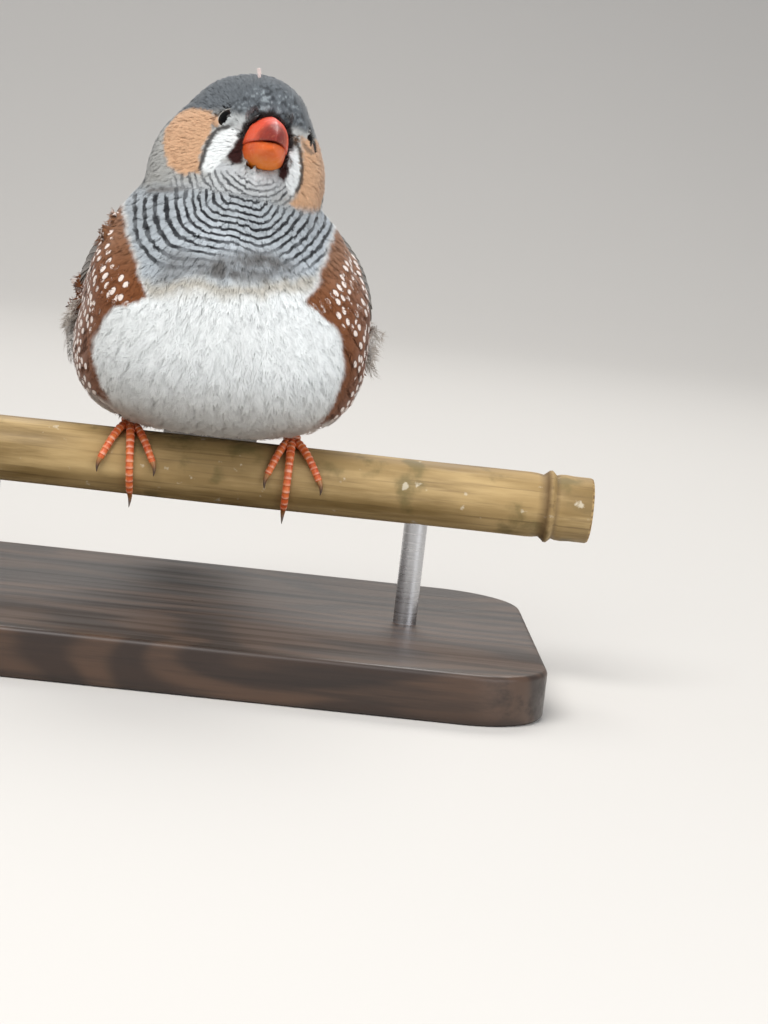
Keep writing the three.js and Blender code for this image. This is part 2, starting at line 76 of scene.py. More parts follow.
WINGS = ("wing_right", "wing_left")
PHOTO_HEIGHT = 1024
CAD_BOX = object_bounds()
log = logging.getLogger("zebra_finch")


class Side(Enum):
    """The bird's own right and left."""

    RIGHT = -1
    LEFT = 1

    @property
    def word(self) -> str:
        """The side's name in a node's name."""
        return self.name.lower()


# ---- numbers and small sums


def srgb(red: float, green: float, blue: float) -> Array:
    """A colour seen on a screen, 0 to 255, as linear light."""
    c = np.array([red, green, blue], float) / 255
    return np.where(c <= 0.04045, c / 12.92, ((c + 0.055) / 1.055) ** 2.4)


def step(value: Array, low: float, high: float) -> Array:
    """0 below low and 1 above high, with a smooth rise between."""
    t = np.clip((value - low) / (high - low), 0, 1)
    return t * t * (3 - 2 * t)


def unit(vectors: Array) -> Array:
    """Vectors at length one."""
    return vectors / np.maximum(np.linalg.norm(vectors, axis=-1, keepdims=True), 1e-9)


def round_turns(count: int) -> Array:
    """Even turns round a circle."""
    return np.linspace(0, 2 * math.pi, count, endpoint=False)


def dot(a: Array, b: Array) -> Array:
    """The row-by-row product of two sets of vectors."""
    return (a * b).sum(-1, keepdims=True)


def blend(below: Array, above: Array, share: Array) -> Array:
    """One set of colours laid over another by a share for each row."""
    return below + (above - below) * np.clip(share, 0, 1)[:, None]


def draw(cells: Array, seed: int) -> Array:
    """A repeatable draw between 0 and 1 for each whole-numbered cell.

    Args:
        cells: whole numbers, three to a cell.
        seed: picks one set of draws out of many.

    Returns:
        One number for each cell.
    """
    x, y, z = (cells[..., k].astype(np.int64) for k in range(3))
    mixed = (x * 73856093) ^ (y * 19349663) ^ (z * 83492791) ^ np.int64(seed * 40503 + 977)
    mixed = (mixed ^ (mixed >> 13)) * np.int64(1274126177)
    mixed = mixed ^ (mixed >> 16)
    return (mixed & 0xFFFFFF) / float(0x1000000)


def noise(points: Array, size: float, seed: int = 0) -> Array:
    """Smooth noise between -1 and 1.

    Args:
        points: places, one row each.
        size: how wide one swell of the noise is.
        seed: picks one noise out of many.

    Returns:
        One number for each place.
    """
    at = points / size
    low = np.floor(at).astype(np.int64)
    t = at - low
    t = t * t * (3 - 2 * t)
    total = np.zeros(len(points))
    for corner in np.ndindex(2, 2, 2):
        share = np.prod(np.where(np.array(corner) == 1, t, 1 - t), axis=1)
        total += share * draw(low + np.array(corner), seed)
    return total * 2 - 1


def line_distance(points: Array, line: Line) -> Array:
    """How far flat points lie from a line of joined stretches.

    Args:
        points: flat places, one row each.
        line: the points that the line joins.

    Returns:
        One distance for each place.
    """
    best = np.full(len(points), 1e9)
    for a, b in zip(np.array(line[:-1], float), np.array(line[1:], float)):
        t = np.clip(((points - a) @ (b - a)) / max(((b - a) ** 2).sum(), 1e-9), 0, 1)
        best = np.minimum(best, np.linalg.norm(points - a - t[:, None] * (b - a), axis=1))
    return best


def patch_distance(points: Array, outline: Line) -> Array:
    """How far flat points lie outside a closed outline, below zero inside it.

    Args:
        points: flat places, one row each.
        outline: the outline's corners.

    Returns:
        One distance for each place.
    """
    closed = [*outline, outline[0]]
    inside = np.zeros(len(points), bool)
    for (ax, ay), (bx, by) in zip(closed[:-1], closed[1:]):
        spans = (ay > points[:, 1]) != (by > points[:, 1])
        height = by - ay if by != ay else 1e-9
        inside ^= spans & (points[:, 0] < (bx - ax) * (points[:, 1] - ay) / height + ax)
    return np.where(inside, -1, 1) * line_distance(points, closed)


def bezier(points: Sequence[Sequence[float]], t: Array) -> tuple[Array, Array]:
    """Follows a curve with four control points.

    Args:
        points: the control points.
        t: shares of the way along it.

    Returns:
        Places and directions.
    """
    p = np.array(points, float)
    t = np.asarray(t, float)[..., None]
    place = (1 - t) ** 3 * p[0] + 3 * (1 - t) ** 2 * t * p[1] + 3 * (1 - t) * t**2 * p[2] + t**3 * p[3]
    way = (1 - t) ** 2 * (p[1] - p[0]) + 2 * (1 - t) * t * (p[2] - p[1]) + t**2 * (p[3] - p[2])
    return place, unit(way)


# ---- meshes


@dataclass
class Shape:
    """Points and faces of one piece, with what its finish reads at each point.

    Attributes:
        points: places in millimetres.
        faces: corner numbers, three or four to a row.
        values: numbers for each point, by name: one column is a number and three are a colour.
        uv: a place on the flat map for each point.
        normals: the direction that each point is shaded by.
    """

    points: Array
    faces: Array
    values: dict[str, Array] = field(default_factory=dict)
    uv: Array | None = None
    normals: Array | None = None

    @staticmethod
    def joined(shapes: Sequence["Shape"]) -> "Shape":
        """Joins several shapes of like make.

        Args:
            shapes: the shapes.

        Returns:
            All of them as one.
        """
        starts = np.cumsum([0] + [len(s.points) for s in shapes[:-1]])
        first = shapes[0]
        return Shape(
            np.concatenate([s.points for s in shapes]),
            np.concatenate([s.faces + start for s, start in zip(shapes, starts)]),
            {name: np.concatenate([s.values[name] for s in shapes]) for name in first.values},
            None if first.uv is None else np.concatenate([s.uv for s in shapes]),
            None if first.normals is None else np.concatenate([s.normals for s in shapes]),
        )


def grid_faces(rows: int, columns: int, closed: bool = False) -> Array:
    """Four-cornered faces over a grid of points, row by row.

    Args:
        rows: rows of points.
        columns: points in a row.
        closed: joins each row's last point to its first.

    Returns:
        Corner numbers, four to a face.
    """
    across = np.arange(columns if closed else columns - 1)
    down = np.arange(rows - 1)[:, None]
    after = (across + 1) % columns
    a, b = down * columns + across, down * columns + after
    return np.stack([a, b, b + columns, a + columns], -1).reshape(-1, 4)


def placed(name: str, data: bpy.types.ID) -> bpy.types.Object:
    """Puts an object in the scene.

    Args:
        name: its name.
        data: its mesh, light or camera.

    Returns:
        The new object.
    """
    made = bpy.data.objects.new(name, data)
    bpy.context.scene.collection.objects.link(made)
    return made


def make_object(
    name: str, shape: Shape, finish: Material, stands_for: Iterable[str] = ()
) -> bpy.types.Object:
    """Makes a piece of the model, which moves with the whole part.

    Args:
        name: the piece's name.
        shape: its mesh.
        finish: its material.
        stands_for: the CAD nodes that it replaces.

    Returns:
        The new object.
    """
    mesh = bpy.data.meshes.new(name)
    corners = shape.faces.shape[1]
    mesh.vertices.add(len(shape.points))
    mesh.vertices.foreach_set("co", (shape.points * MM).astype(np.float32).ravel())
    mesh.loops.add(shape.faces.size)
    mesh.loops.foreach_set("vertex_index", shape.faces.astype(np.int32).ravel())
    mesh.polygons.add(len(shape.faces))
    mesh.polygons.foreach_set("loop_start", np.arange(0, shape.faces.size, corners, dtype=np.int32))
    mesh.update(calc_edges=True)
    mesh.shade_smooth()
    for key, value in shape.values.items():
        if value.ndim == 2:
            layer = mesh.attributes.new(key, "FLOAT_COLOR", "POINT")
            colour = np.concatenate([value, np.ones((len(value), 1))], 1)
            layer.data.foreach_set("color", colour.astype(np.float32).ravel())
        else:
            mesh.attributes.new(key, "FLOAT", "POINT").data.foreach_set("value", value.astype(np.float32))
    if shape.uv is not None:
        layer = mesh.uv_layers.new(name="OFBake")
        layer.data.foreach_set("uv", shape.uv[shape.faces.ravel()].astype(np.float32).ravel())
    if shape.normals is not None:
        mesh.normals_split_custom_set_from_vertices(shape.normals.astype(np.float32).tolist())
    mesh.materials.append(finish)
    made = placed(name, mesh)
    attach(made, "root")
    if stands_for:
        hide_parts(*stands_for)
    log.info("%s: %d faces", name, len(shape.faces))
    return made


def mesh_arrays(mesh: bpy.types.Mesh) -> tuple[Array, Array]:
    """Reads a mesh.

    Args:
        mesh: the mesh.

    Returns:
        Its points in millimetres and its triangles.
    """
    mesh.calc_loop_triangles()
    points = np.zeros(len(mesh.vertices) * 3, np.float32)
    mesh.vertices.foreach_get("co", points)
    triangles = np.zeros(len(mesh.loop_triangles) * 3, np.int32)
    mesh.loop_triangles.foreach_get("vertices", triangles)
    return points.reshape(-1, 3).astype(float) / MM, triangles.reshape(-1, 3)


def node_arrays(*names: str) -> tuple[Array, Array]:
    """Reads some CAD nodes, taken together.

    Args:
        names: the nodes' names.

    Returns:
        Their points in millimetres and their triangles.
    """
    parts = [mesh_arrays(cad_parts[name].data) for name in names]
    starts = np.cumsum([0] + [len(points) for points, _ in parts[:-1]])
    return (
        np.concatenate([points for points, _ in parts]),
        np.concatenate([triangles + start for (_, triangles), start in zip(parts, starts)]),
    )


def point_normals(points: Array, triangles: Array) -> Array:
    """Works out the smooth outward direction at each point of a mesh.

    Args:
        points: the mesh's points.
        triangles: its triangles.

    Returns:
        One direction for each point.
    """
    a, b, c = (points[triangles[:, k]] for k in range(3))
    flat = np.cross(b - a, c - a)
    total = np.zeros_like(points)
    for k in range(3):
        np.add.at(total, triangles[:, k], flat)
    return unit(total)


# ---- finishes


class Finish:
    """A material that is being put together from nodes."""

    def __init__(self, name: str) -> None:
        """Starts a material with one shader and its output.

        Args:
            name: the material's name.
        """
        self.material = bpy.data.materials.new(name)
        self.material.use_nodes = True
        self.tree = self.material.node_tree
        self.shader = self.tree.nodes["Principled BSDF"]

    def set(self, **values: object) -> "Finish":
        """Sets the shader's own sockets, with _ for a space in a name.

        Args:
            values: a value for each socket, by name.

        Returns:
            This finish.
        """
        for key, value in values.items():
            self.shader.inputs[key.replace("_", " ")].default_value = value
        return self

    def node(
        self, kind: str, inputs: dict[str | int, object] | None = None, **settings: object
    ) -> bpy.types.Node:
        """Adds a node.

        Args:
            kind: the node's type, without ShaderNode.
            inputs: for each socket, a number, a colour or a socket to link from.
            settings: the node's own options.

        Returns:
            The new node.
        """
        made = self.tree.nodes.new("ShaderNode" + kind)
        for key, value in settings.items():
            setattr(made, key, value)
        for key, value in (inputs or {}).items():
            self.feed(made.inputs[key], value)
        return made

    def feed(self, socket: Socket, value: object) -> None:
        """Links a socket to another, or sets its value.

        Args:
            socket: the socket to feed.
            value: a number, a colour or a socket to link from.
        """
        if isinstance(value, Socket):
            self.tree.links.new(value, socket)
        elif isinstance(value, (list, tuple, np.ndarray)) and len(value) == 3 and socket.type == "RGBA":
            socket.default_value = (*[float(v) for v in value], 1.0)
        else:
            socket.default_value = value

    def value(self, name: str, output: str = "Fac") -> Socket:
        """Reads what the mesh holds at each point under a name."""
        return self.node("Attribute", attribute_name=name).outputs[output]

    def math(self, operation: str, *terms: object) -> Socket:
        """Adds one operation on numbers or sockets.

        Args:
            operation: the operation's name.
            terms: what it works on.

        Returns:
            Its result.
        """
        made = self.node("Math", operation=operation)
        for socket, term in zip(made.inputs, terms):
            self.feed(socket, term)
        return made.outputs[0]

    def plus(self, a: object, b: object) -> Socket:
        """One number or socket and another."""
        return self.math("ADD", a, b)

    def less(self, a: object, b: object) -> Socket:
        """One number or socket less another."""
        return self.math("SUBTRACT", a, b)

    def times(self, a: object, b: object) -> Socket:
        """One number or socket by another."""
        return self.math("MULTIPLY", a, b)

    def swing(self, scale: float, detail: float, reach: float) -> Socket:
        """Noise to both sides of zero, half its reach each way."""
        return self.times(self.less(self.noise(scale, detail), 0.5), reach)

    def ramp(self, value: object, low: float, high: float, start: float = 0.0, end: float = 1.0) -> Socket:
        """A number that runs from start to end as another goes from low to high."""
        ranged = {"Value": value, "From Min": low, "From Max": high, "To Min": start, "To Max": end}
        return self.node("MapRange", ranged, interpolation_type="SMOOTHSTEP").outputs[0]

    def mix(self, share: object, below: object, above: object) -> Socket:
        """One colour laid over another.

        Args:
            share: how much of the upper colour shows.
            below: the lower colour.
            above: the upper colour.

        Returns:
            The mixed colour.
        """
        made = self.node("Mix", data_type="RGBA")
        self.feed(made.inputs[0], share)
        self.feed(made.inputs[6], below)
        self.feed(made.inputs[7], above)
        return made.outputs[2]

    def place(self, stretch: Triple = (1, 1, 1)) -> Socket:
        """The place in the part's own frame, stretched along each axis."""
        at = self.node("TexCoord").outputs["Object"]
        return self.node("Mapping", {"Vector": at, "Scale": stretch}).outputs[0]

    def noise(self, scale: float, detail: float = 3, at: object = None, rough: float = 0.5) -> Socket:
        """Noise between 0 and 1 over the part."""
        inputs = {"Vector": at or self.place(), "Scale": scale, "Detail": detail, "Roughness": rough}
        return self.node("TexNoise", inputs).outputs[0]

    def bump(self, height: object, depth: float, strength: float = 1.0) -> None:
        """Raises the surface by a height between 0 and 1, times a depth in metres."""
        made = self.node("Bump", {"Height": height, "Distance": depth, "Strength": strength})
        self.feed(self.shader.inputs["Normal"], made.outputs[0])

    def colour(self, value: object) -> None:
        """Sets the surface's colour."""
        self.feed(self.shader.inputs["Base Color"], value)


@dataclass(frozen=True)
class Plumage:
    """Feathers whose markings lie in the mesh: a tint, bars counted from the throat, and paired spots.

    Attributes:
        name: the material's name.
        ink: the colour of the bars.
        pearl: the colour of the spots.
        width: the share of each bar's pitch that is dark.
        spotted: draws the spots.
        barred: draws the bars.
    """

    name: str
    ink: Triple = (0.026, 0.028, 0.033)
    pearl: Triple = (0.78, 0.68, 0.62)
    width: float = 0.40
    spotted: bool = False
    barred: bool = False

    def build(self) -> Material:
        """Puts the material together.

        Returns:
            The new material.
        """
        f = Finish(self.name)
        f.set(Roughness=0.85, Sheen_Weight=0.25, Sheen_Roughness=0.5, Specular_IOR_Level=0.25)
        colour = f.value("tint", "Color")
        if self.barred:
            turn = f.times(f.plus(f.value("phase"), f.swing(700, 2, 0.5)), 2 * math.pi)
            wave = f.math("SINE", turn)
            edge = math.cos(math.pi * self.width)
            bars = f.times(f.ramp(wave, edge - 0.35, edge + 0.35), f.value("barring"))
            colour = f.mix(bars, colour, self.ink)
        if self.spotted:
            across = f.times(f.less(f.math("ABSOLUTE", f.value("across")), 0.55), 2.9)
            along = f.times(f.less(f.value("along"), 0.8), 6.8)
            far = f.math("SQRT", f.plus(f.times(across, across), f.times(along, along)))
            rim = f.times(f.ramp(far, 1.05, 1.6, 1, 0), f.value("spots"))
            colour = f.mix(f.times(rim, 0.55), colour, (0.055, 0.022, 0.010))
            colour = f.mix(f.times(f.ramp(far, 0.8, 1.05, 1, 0), f.value("spots")), colour, self.pearl)
        f.colour(colour)
        return f.material


@dataclass(frozen=True)
class VaneFinish:
    """Smooth flight feathers with fine barbs on the slant from the shaft."""

    name: str = "flight_feathers"
    roughness: float = 0.55

    def build(self) -> Material:
        """Puts the material together.

        Returns:
            The new material.
        """
        f = Finish(self.name)
        f.set(Roughness=self.roughness, Sheen_Weight=0.15, Specular_IOR_Level=0.35)
        slant = f.less(f.value("along"), f.times(f.math("ABSOLUTE", f.value("across")), 0.09))
        wave = f.math("SINE", f.times(slant, 520.0))
        ripple = f.plus(f.times(wave, 0.5), 0.5)
        shade = f.ramp(ripple, 0, 1, 0.82, 1.06)
        blotch = f.ramp(f.noise(900, 3), 0.3, 0.7, 0.9, 1.1)
        tint = f.node("VectorMath", operation="SCALE")
        f.feed(tint.inputs[0], f.value("tint", "Color"))
        f.feed(tint.inputs["Scale"], f.times(shade, blotch))
        f.colour(tint.outputs[0])
        f.bump(ripple, 0.00003, 0.6)
        return f.material


@dataclass(frozen=True)
class Horn:
    """The bill: satin horn, streaked along its length, with a darker worn tip, painted light in the colour
    from its sides to its ridge, and pale patches of painted highlight.
    """

    name: str
    root: Array
    ridge: Array
    tip: Array

    def build(self) -> Material:
        """Puts the material together.

        Returns:
            The new material.
        """
        f = Finish(self.name)
        f.set(Roughness=0.5, Coat_Weight=0.12, Coat_Roughness=0.35)
        f.set(Subsurface_Weight=0.12, Subsurface_Scale=0.001, Subsurface_Radius=(1.0, 0.35, 0.15))
        over = f.plus(f.value("over"), f.swing(420, 4, 0.7))
        # From root on the sides to ridge on top of the arch: painted light, set for each mandible.
        colour = f.mix(f.ramp(over, 0.25, 1.0), self.root, self.ridge)
        worn = f.plus(f.value("along"), f.swing(650, 4, 0.35))
        colour = f.mix(f.ramp(worn, 0.50, 0.86, 0, 0.95), colour, self.tip)
        # Pale pinkish patches: painted highlights.
        colour = f.mix(f.ramp(f.noise(1500, 2), 0.55, 0.8, 0, 0.3), colour, (0.85, 0.33, 0.16))
        f.colour(colour)
        f.feed(f.shader.inputs["Roughness"], f.ramp(f.noise(900, 3), 0.3, 0.7, 0.42, 0.6))
        f.bump(f.noise(1200, 4), 0.00006, 0.5)
        return f.material


@dataclass(frozen=True)
class EyeFinish:
    """A wet dark eye with a deep brown iris."""

    name: str = "eye_wet"

    def build(self) -> Material:
        """Puts the material together.

        Returns:
            The new material.
        """
        f = Finish(self.name)
        f.set(Roughness=0.05, IOR=1.36, Specular_IOR_Level=0.16, Coat_Weight=0.12, Coat_Roughness=0.02)
        ring = f.value("ring")
        iris = f.mix(f.noise(2500, 3), (0.010, 0.0035, 0.002), (0.005, 0.0025, 0.002))
        colour = f.mix(f.ramp(ring, 0.5, 0.56), (0.0015, 0.0012, 0.0012), iris)
        f.colour(f.mix(f.ramp(ring, 0.86, 0.98), colour, (0.006, 0.004, 0.004)))
        return f.material


@dataclass(frozen=True)
class Scutes:
    """The legs' bare skin: overlapping orange scutes with pale rims."""

    name: str = "leg_scutes"

    def build(self) -> Material:
        """Puts the material together.

        Returns:
            The new material.
        """
        f = Finish(self.name)
        f.set(Roughness=0.42)
        f.set(Subsurface_Weight=0.1, Subsurface_Scale=0.001, Subsurface_Radius=(1.0, 0.4, 0.2))
        rim = f.value("rim")
        colour = f.mix(f.ramp(f.noise(900, 4), 0.35, 0.7), (0.62, 0.10, 0.022), (0.74, 0.19, 0.045))
        pale = f.times(f.ramp(rim, 0.5, 0.9), f.ramp(f.noise(1400, 2), 0.35, 0.6, 0.3, 1.0))
        colour = f.mix(f.times(pale, 0.72), colour, (0.86, 0.52, 0.38))
        colour = f.mix(f.ramp(rim, 0.22, 0.0, 0, 0.55), colour, (0.24, 0.035, 0.012))
        f.colour(f.mix(f.value("sole"), colour, (0.52, 0.20, 0.07)))
        f.bump(f.noise(2600, 3), 0.00005, 0.4)
        return f.material


@dataclass(frozen=True)
class ClawHorn:
    """Brown claws, paler at the root."""

    name: str = "claw_horn"

    def build(self) -> Material:
        """Puts the material together.

        Returns:
            The new material.
        """
        f = Finish(self.name)
        f.set(Roughness=0.35, Coat_Weight=0.2)
        colour = f.mix(f.ramp(f.value("along"), 0.0, 0.75), (0.40, 0.17, 0.055), (0.055, 0.028, 0.014))
        f.colour(f.mix(f.ramp(f.noise(1200, 3), 0.5, 0.8, 0, 0.5), colour, (0.16, 0.09, 0.05)))
        return f.material


@dataclass(frozen=True)
class BambooFinish:
    """Weathered bamboo: tan over olive brown, streaked along the stick, with blotches and pale scuffs."""

    name: str = "bamboo_weathered"

    def build(self) -> Material:
        """Puts the material together.

        Returns:
            The new material.
        """
        f = Finish(self.name)
        f.set(Roughness=0.6, Specular_IOR_Level=0.4)
        streaks = f.noise(260, 5, f.place((0.12, 1, 1)), 0.6)
        fine = f.noise(1500, 3, f.place((0.03, 1, 1)), 0.6)
        cloud = f.noise(75, 4, f.place((0.6, 1, 1)))
        colour = f.mix(f.ramp(cloud, 0.35, 0.68), srgb(122, 98, 55), srgb(168, 140, 92))
        colour = f.mix(f.ramp(streaks, 0.42, 0.7, 0, 0.75), colour, srgb(196, 168, 118))
        colour = f.mix(f.ramp(f.noise(190, 4), 0.56, 0.72, 0, 0.6), colour, srgb(92, 84, 46))
        colour = f.mix(f.ramp(fine, 0.52, 0.75, 0, 0.5), colour, srgb(88, 66, 38))
        colour = f.mix(f.ramp(f.noise(520, 5), 0.66, 0.74, 0, 0.65), colour, srgb(214, 204, 182))
        colour = f.mix(f.times(f.value("ring"), 0.75), colour, srgb(74, 50, 28))
        pith = f.mix(f.ramp(f.noise(2200, 2), 0.4, 0.6), srgb(196, 166, 112), srgb(120, 88, 50))
        colour = f.mix(f.value("cut"), colour, pith)
        f.colour(colour)
        f.feed(f.shader.inputs["Roughness"], f.ramp(cloud, 0.3, 0.7, 0.5, 0.75))
        f.bump(f.plus(f.times(fine, 0.6), streaks), 0.00012, 0.6)
        return f.material


@dataclass(frozen=True)
class StainedWood:
    """The stand's base: dark stained hardwood with an open grain along X."""

    name: str = "stand_wood"

    def build(self) -> Material:
        """Puts the material together.

        Returns:
            The new material.
        """
        f = Finish(self.name)
        f.set(Roughness=0.45, Coat_Weight=0.15, Coat_Roughness=0.35)
        ring = f.math("SINE", f.times(f.noise(22, 3, f.place((0.35, 1, 1))), 90.0))
        grain = f.noise(330, 6, f.place((0.05, 1, 1)), 0.65)
        colour = f.mix(f.ramp(ring, -0.7, 0.9), (0.030, 0.016, 0.010), (0.075, 0.040, 0.023))
        colour = f.mix(f.ramp(grain, 0.45, 0.72, 0, 0.8), colour, (0.014, 0.008, 0.005))
        f.colour(colour)
        f.feed(f.shader.inputs["Roughness"], f.ramp(grain, 0.4, 0.7, 0.38, 0.6))
        f.bump(grain, 0.00008, 0.5)
        return f.material


@dataclass(frozen=True)
class BrushedSteel:
    """The rods: steel with fine rings from turning."""

    name: str = "rod_steel"

    def build(self) -> Material:
        """Puts the material together.

        Returns:
            The new material.
        """
        f = Finish(self.name)
        f.set(Metallic=1.0)
        rings = f.noise(900, 3, f.place((0.05, 0.05, 3)), 0.6)
        f.colour(f.mix(rings, (0.50, 0.50, 0.51), (0.66, 0.66, 0.67)))
        f.feed(f.shader.inputs["Roughness"], f.ramp(rings, 0.3, 0.7, 0.24, 0.4))
        f.bump(rings, 0.00002, 0.4)
        return f.material


@dataclass(frozen=True)
class FloorFinish:
    """A matt surface with a faint mottle, for the floor."""

    name: str = "floor_pale"
    tone: Triple = (0.62, 0.60, 0.57)
    roughness: float = 0.95
    mottle: float = 0.02
    scale: float = 9.0

    def build(self) -> Material:
        """Puts the material together.

        Returns:
            The new material.
        """
        f = Finish(self.name)
        f.set(Roughness=self.roughness)
        darker = tuple(c * (1 - self.mottle) for c in self.tone)
        f.colour(f.mix(f.noise(self.scale, 3), self.tone, darker))
        return f.material


# ---- the head's own frame


@dataclass(frozen=True)
class HeadPlace:
    """Where the head sits and how it is turned: side, forward and up are its own directions.

    Attributes:
        x: the head's middle, to the bird's left.
        y: its middle, backward.
        rise: its middle above the perch.
        yaw: turn to the left, in degrees.
        pitch: bill up, in degrees.
        roll: crown to the left, in degrees.
    """

    x: float = 2.1
    y: float = -6.5
    rise: float = 41.6
    yaw: float = 7.0
    pitch: float = 14.5
    roll: float = 8.2

    @property
    def middle(self) -> Array:
        """The head's middle."""
        return np.array([self.x, self.y, PERCH_TOP + self.rise])

    @property
    def turn(self) -> Array:
        """Works out how the head's directions turn to the part's.

        Returns:
            A matrix.
        """
        a, b, c = (math.radians(v) for v in (-self.pitch, self.roll, self.yaw))
        rx = np.array([[1, 0, 0], [0, math.cos(a), -math.sin(a)], [0, math.sin(a), math.cos(a)]])
        ry = np.array([[math.cos(b), 0, math.sin(b)], [0, 1, 0], [-math.sin(b), 0, math.cos(b)]])
        rz = np.array([[math.cos(c), -math.sin(c), 0], [math.sin(c), math.cos(c), 0], [0, 0, 1]])
        return ry @ rz @ rx

    def inward(self, points: Array) -> Array:
        """Part places as side, forward and up."""
        local = (points - self.middle) @ self.turn
        return local * np.array([1, -1, 1])

    def outward(self, local: Array) -> Array:
        """Side, forward and up as part places."""
        return (np.asarray(local, float) * np.array([1, -1, 1])) @ self.turn.T + self.middle

    def heading(self, local: Sequence[float]) -> Array:
        """A direction of the head's as one of the part's."""
        return (np.asarray(local, float) * np.array([1, -1, 1])) @ self.turn.T


HEAD = HeadPlace()
BILL_BASE = HEAD.outward([0, 8.0, -0.6])
THROAT = np.array([1.2, -17.4, PERCH_TOP + 36.0])


@dataclass(frozen=True)
class EyePlace:
    """Where the eyes sit in the head's frame, and their radius."""

    side: float = 5.0
    forward: float = 4.95
    up: float = 2.2
    radius: float = 1.8

    def middle(self, side: Side) -> Array:
        """The middle of one eye, in the part's frame."""
        return HEAD.outward([side.value * self.side, self.forward, self.up])


EYE = EyePlace()


# ---- markings


@dataclass
class Marks:
    """The markings at some places of the coat.

    Attributes:
        tint: the colour under bars and spots.
        phase: the count of bars from the throat.
        barring: how strongly the bars show.
        spots: how strongly the spots show.
    """

    tint: Array
    phase: Array
    barring: Array
    spots: Array


class Markings:
    """The male's markings, worked out for any place on the body, for skin and feathers alike."""

    crown = srgb(92, 98, 103)
    nape = srgb(120, 122, 122)
    pale = srgb(176, 176, 172)
    cheek = srgb(210, 168, 132)
    white = srgb(236, 240, 240)
    soot = srgb(34, 28, 27)
    # Dark red-brown of the mouth's corners: gape skin deepened with painted shade.
    gape_shade = srgb(48, 14, 10)
    throat = srgb(196, 200, 202)
    breast = srgb(190, 198, 204)
    smudge = srgb(84, 80, 76)
    fawn = srgb(176, 168, 152)
    chestnut = srgb(124, 72, 36)
    rust = srgb(150, 108, 78)
    mantle = srgb(104, 97, 90)
    leg_brown = srgb(168, 140, 118)
    black = srgb(30, 27, 26)
    swells = (1.3, 4.5, 0.45)

    cheek_outline = {
        Side.RIGHT: [
            (-2.7, 3.3), (0.0, 3.9), (3.7, 3.3), (5.3, 1.9), (5.8, 0.0), (5.6, -2.3), (5.8, -4.5),
            (6.0, -5.9), (4.2, -6.6), (1.9, -5.4), (-0.1, -2.1), (-1.9, 0.8)
        ],
        Side.LEFT: [
            (-1.4, 2.6), (1.6, 3.4), (4.6, 3.0), (7.6, 2.0), (7.6, -1.2), (7.3, -3.7), (7.5, -5.9),
            (7.4, -7.6), (5.2, -8.2), (2.6, -6.6), (0.6, -3.2), (-0.8, 0.2)
        ],
    }
    tear_outline = {
        Side.RIGHT: [
            (4.0, 0.2), (4.4, -2.3), (5.5, -4.4), (6.6, -6.0), (7.8, -5.6), (7.5, -2.9), (7.1, -1.1),
            (6.2, 0.2), (5.0, 0.9)
        ],
        Side.LEFT: [
            (3.3, 0.8), (4.3, 0.2), (5.4, -2.0), (5.7, -4.2), (5.3, -6.4), (4.4, -6.0), (3.8, -4.8),
            (3.2, -2.1)
        ],
    }
    tear_line = {
        Side.RIGHT: [(5.6, 0.9), (6.7, 0.5), (7.4, -0.7), (7.8, -2.4), (8.0, -4.0), (7.9, -5.4)],
        Side.LEFT: [(3.9, 1.0), (4.8, 0.3), (5.7, -1.7), (6.0, -3.9), (5.7, -5.6)],
    }
    gape_shade_outline = {
        Side.RIGHT: [(3.0, 0.4), (3.7, -0.3), (4.9, -3.4), (4.0, -4.2), (2.9, -4.0)],
        Side.LEFT: [(2.8, 0.6), (3.4, -0.4), (3.9, -3.6), (3.5, -4.9), (2.6, -4.4)],
    }

    flank_border = {
        Side.RIGHT: [
            (3, 13.5), (5.4, 15.0), (7, 16.2), (9, 16.9), (11.5, 17.7), (14, 17.5), (16, 16.7), (18.4, 15.2),
            (19.4, 12.6), (20.3, 10.6), (21.2, 10.8), (22.7, 12.0), (25, 13.0), (27.4, 14.3), (29.9, 15.1),
            (33, 16.0)
        ],
        Side.LEFT: [
            (3, 13.5), (6, 16.0), (9.3, 17.3), (12.5, 17.8), (16.5, 17.0), (18.5, 16.0), (20.1, 14.4),
            (21.0, 12.9), (22.0, 11.3), (22.8, 11.3), (24.3, 12.6), (26, 13.1), (29.6, 13.9), (33, 14.8)
        ],
    }

    def border_at(self, side: Side, rise: Array) -> Array:
        """How far from the middle the chestnut of one flank begins at some heights."""
        heights, reach = zip(*self.flank_border[side])
        return np.interp(rise, heights, reach)

    @staticmethod
    def necklace(x: Array, rise: Array) -> tuple[Array, Array]:
        """The breast's bars: steep on its right, nearly level in the middle and rising on its left.

        Args:
            x: places to the bird's left.
            rise: their heights above the perch.

        Returns:
            How far out from the throat each place lies, and its count of bars.
        """
        away = 0.85 * (x - THROAT[0])
        right = (away**4 + (rise - 37.5) ** 4) ** 0.25
        left = np.hypot(away, rise - 36.0)
        ring = right + (left - right) * step(x, 0, 6)
        pitch = 0.90 + 0.34 * step(-x, 3, 9) + 0.16 * step(x, 3, 8)
        return ring, (ring - 9.0) / pitch

    def read(self, points: Array) -> Marks:
        """The markings at places on or near the body.

        Args:
            points: places in the part's frame.

        Returns:
            Their tint, the count of bars from the throat, how strongly they are barred and how spotted.
        """
        x, y, rise = points[:, 0], points[:, 1], points[:, 2] - PERCH_TOP
        soft, broad, fine = (noise(points, size, k + 1) for k, size in enumerate(self.swells))
        angle = np.degrees(np.arctan2(np.abs(x), -(y - 4)))

        tint = np.tile(self.white, (len(points), 1))
        low = step(-rise, -11, 1) * step(-y, -14, 2)
        tint = blend(tint, srgb(206, 200, 188), 0.75 * low)
        # Brownish round the legs, at the foot of the belly.
        near_legs = np.exp(-((np.abs(x) - 11.5) ** 2) / 18 - (y + 4) ** 2 / 60) * step(-rise, -7, -1)
        tint = blend(tint, self.leg_brown, 0.85 * near_legs)

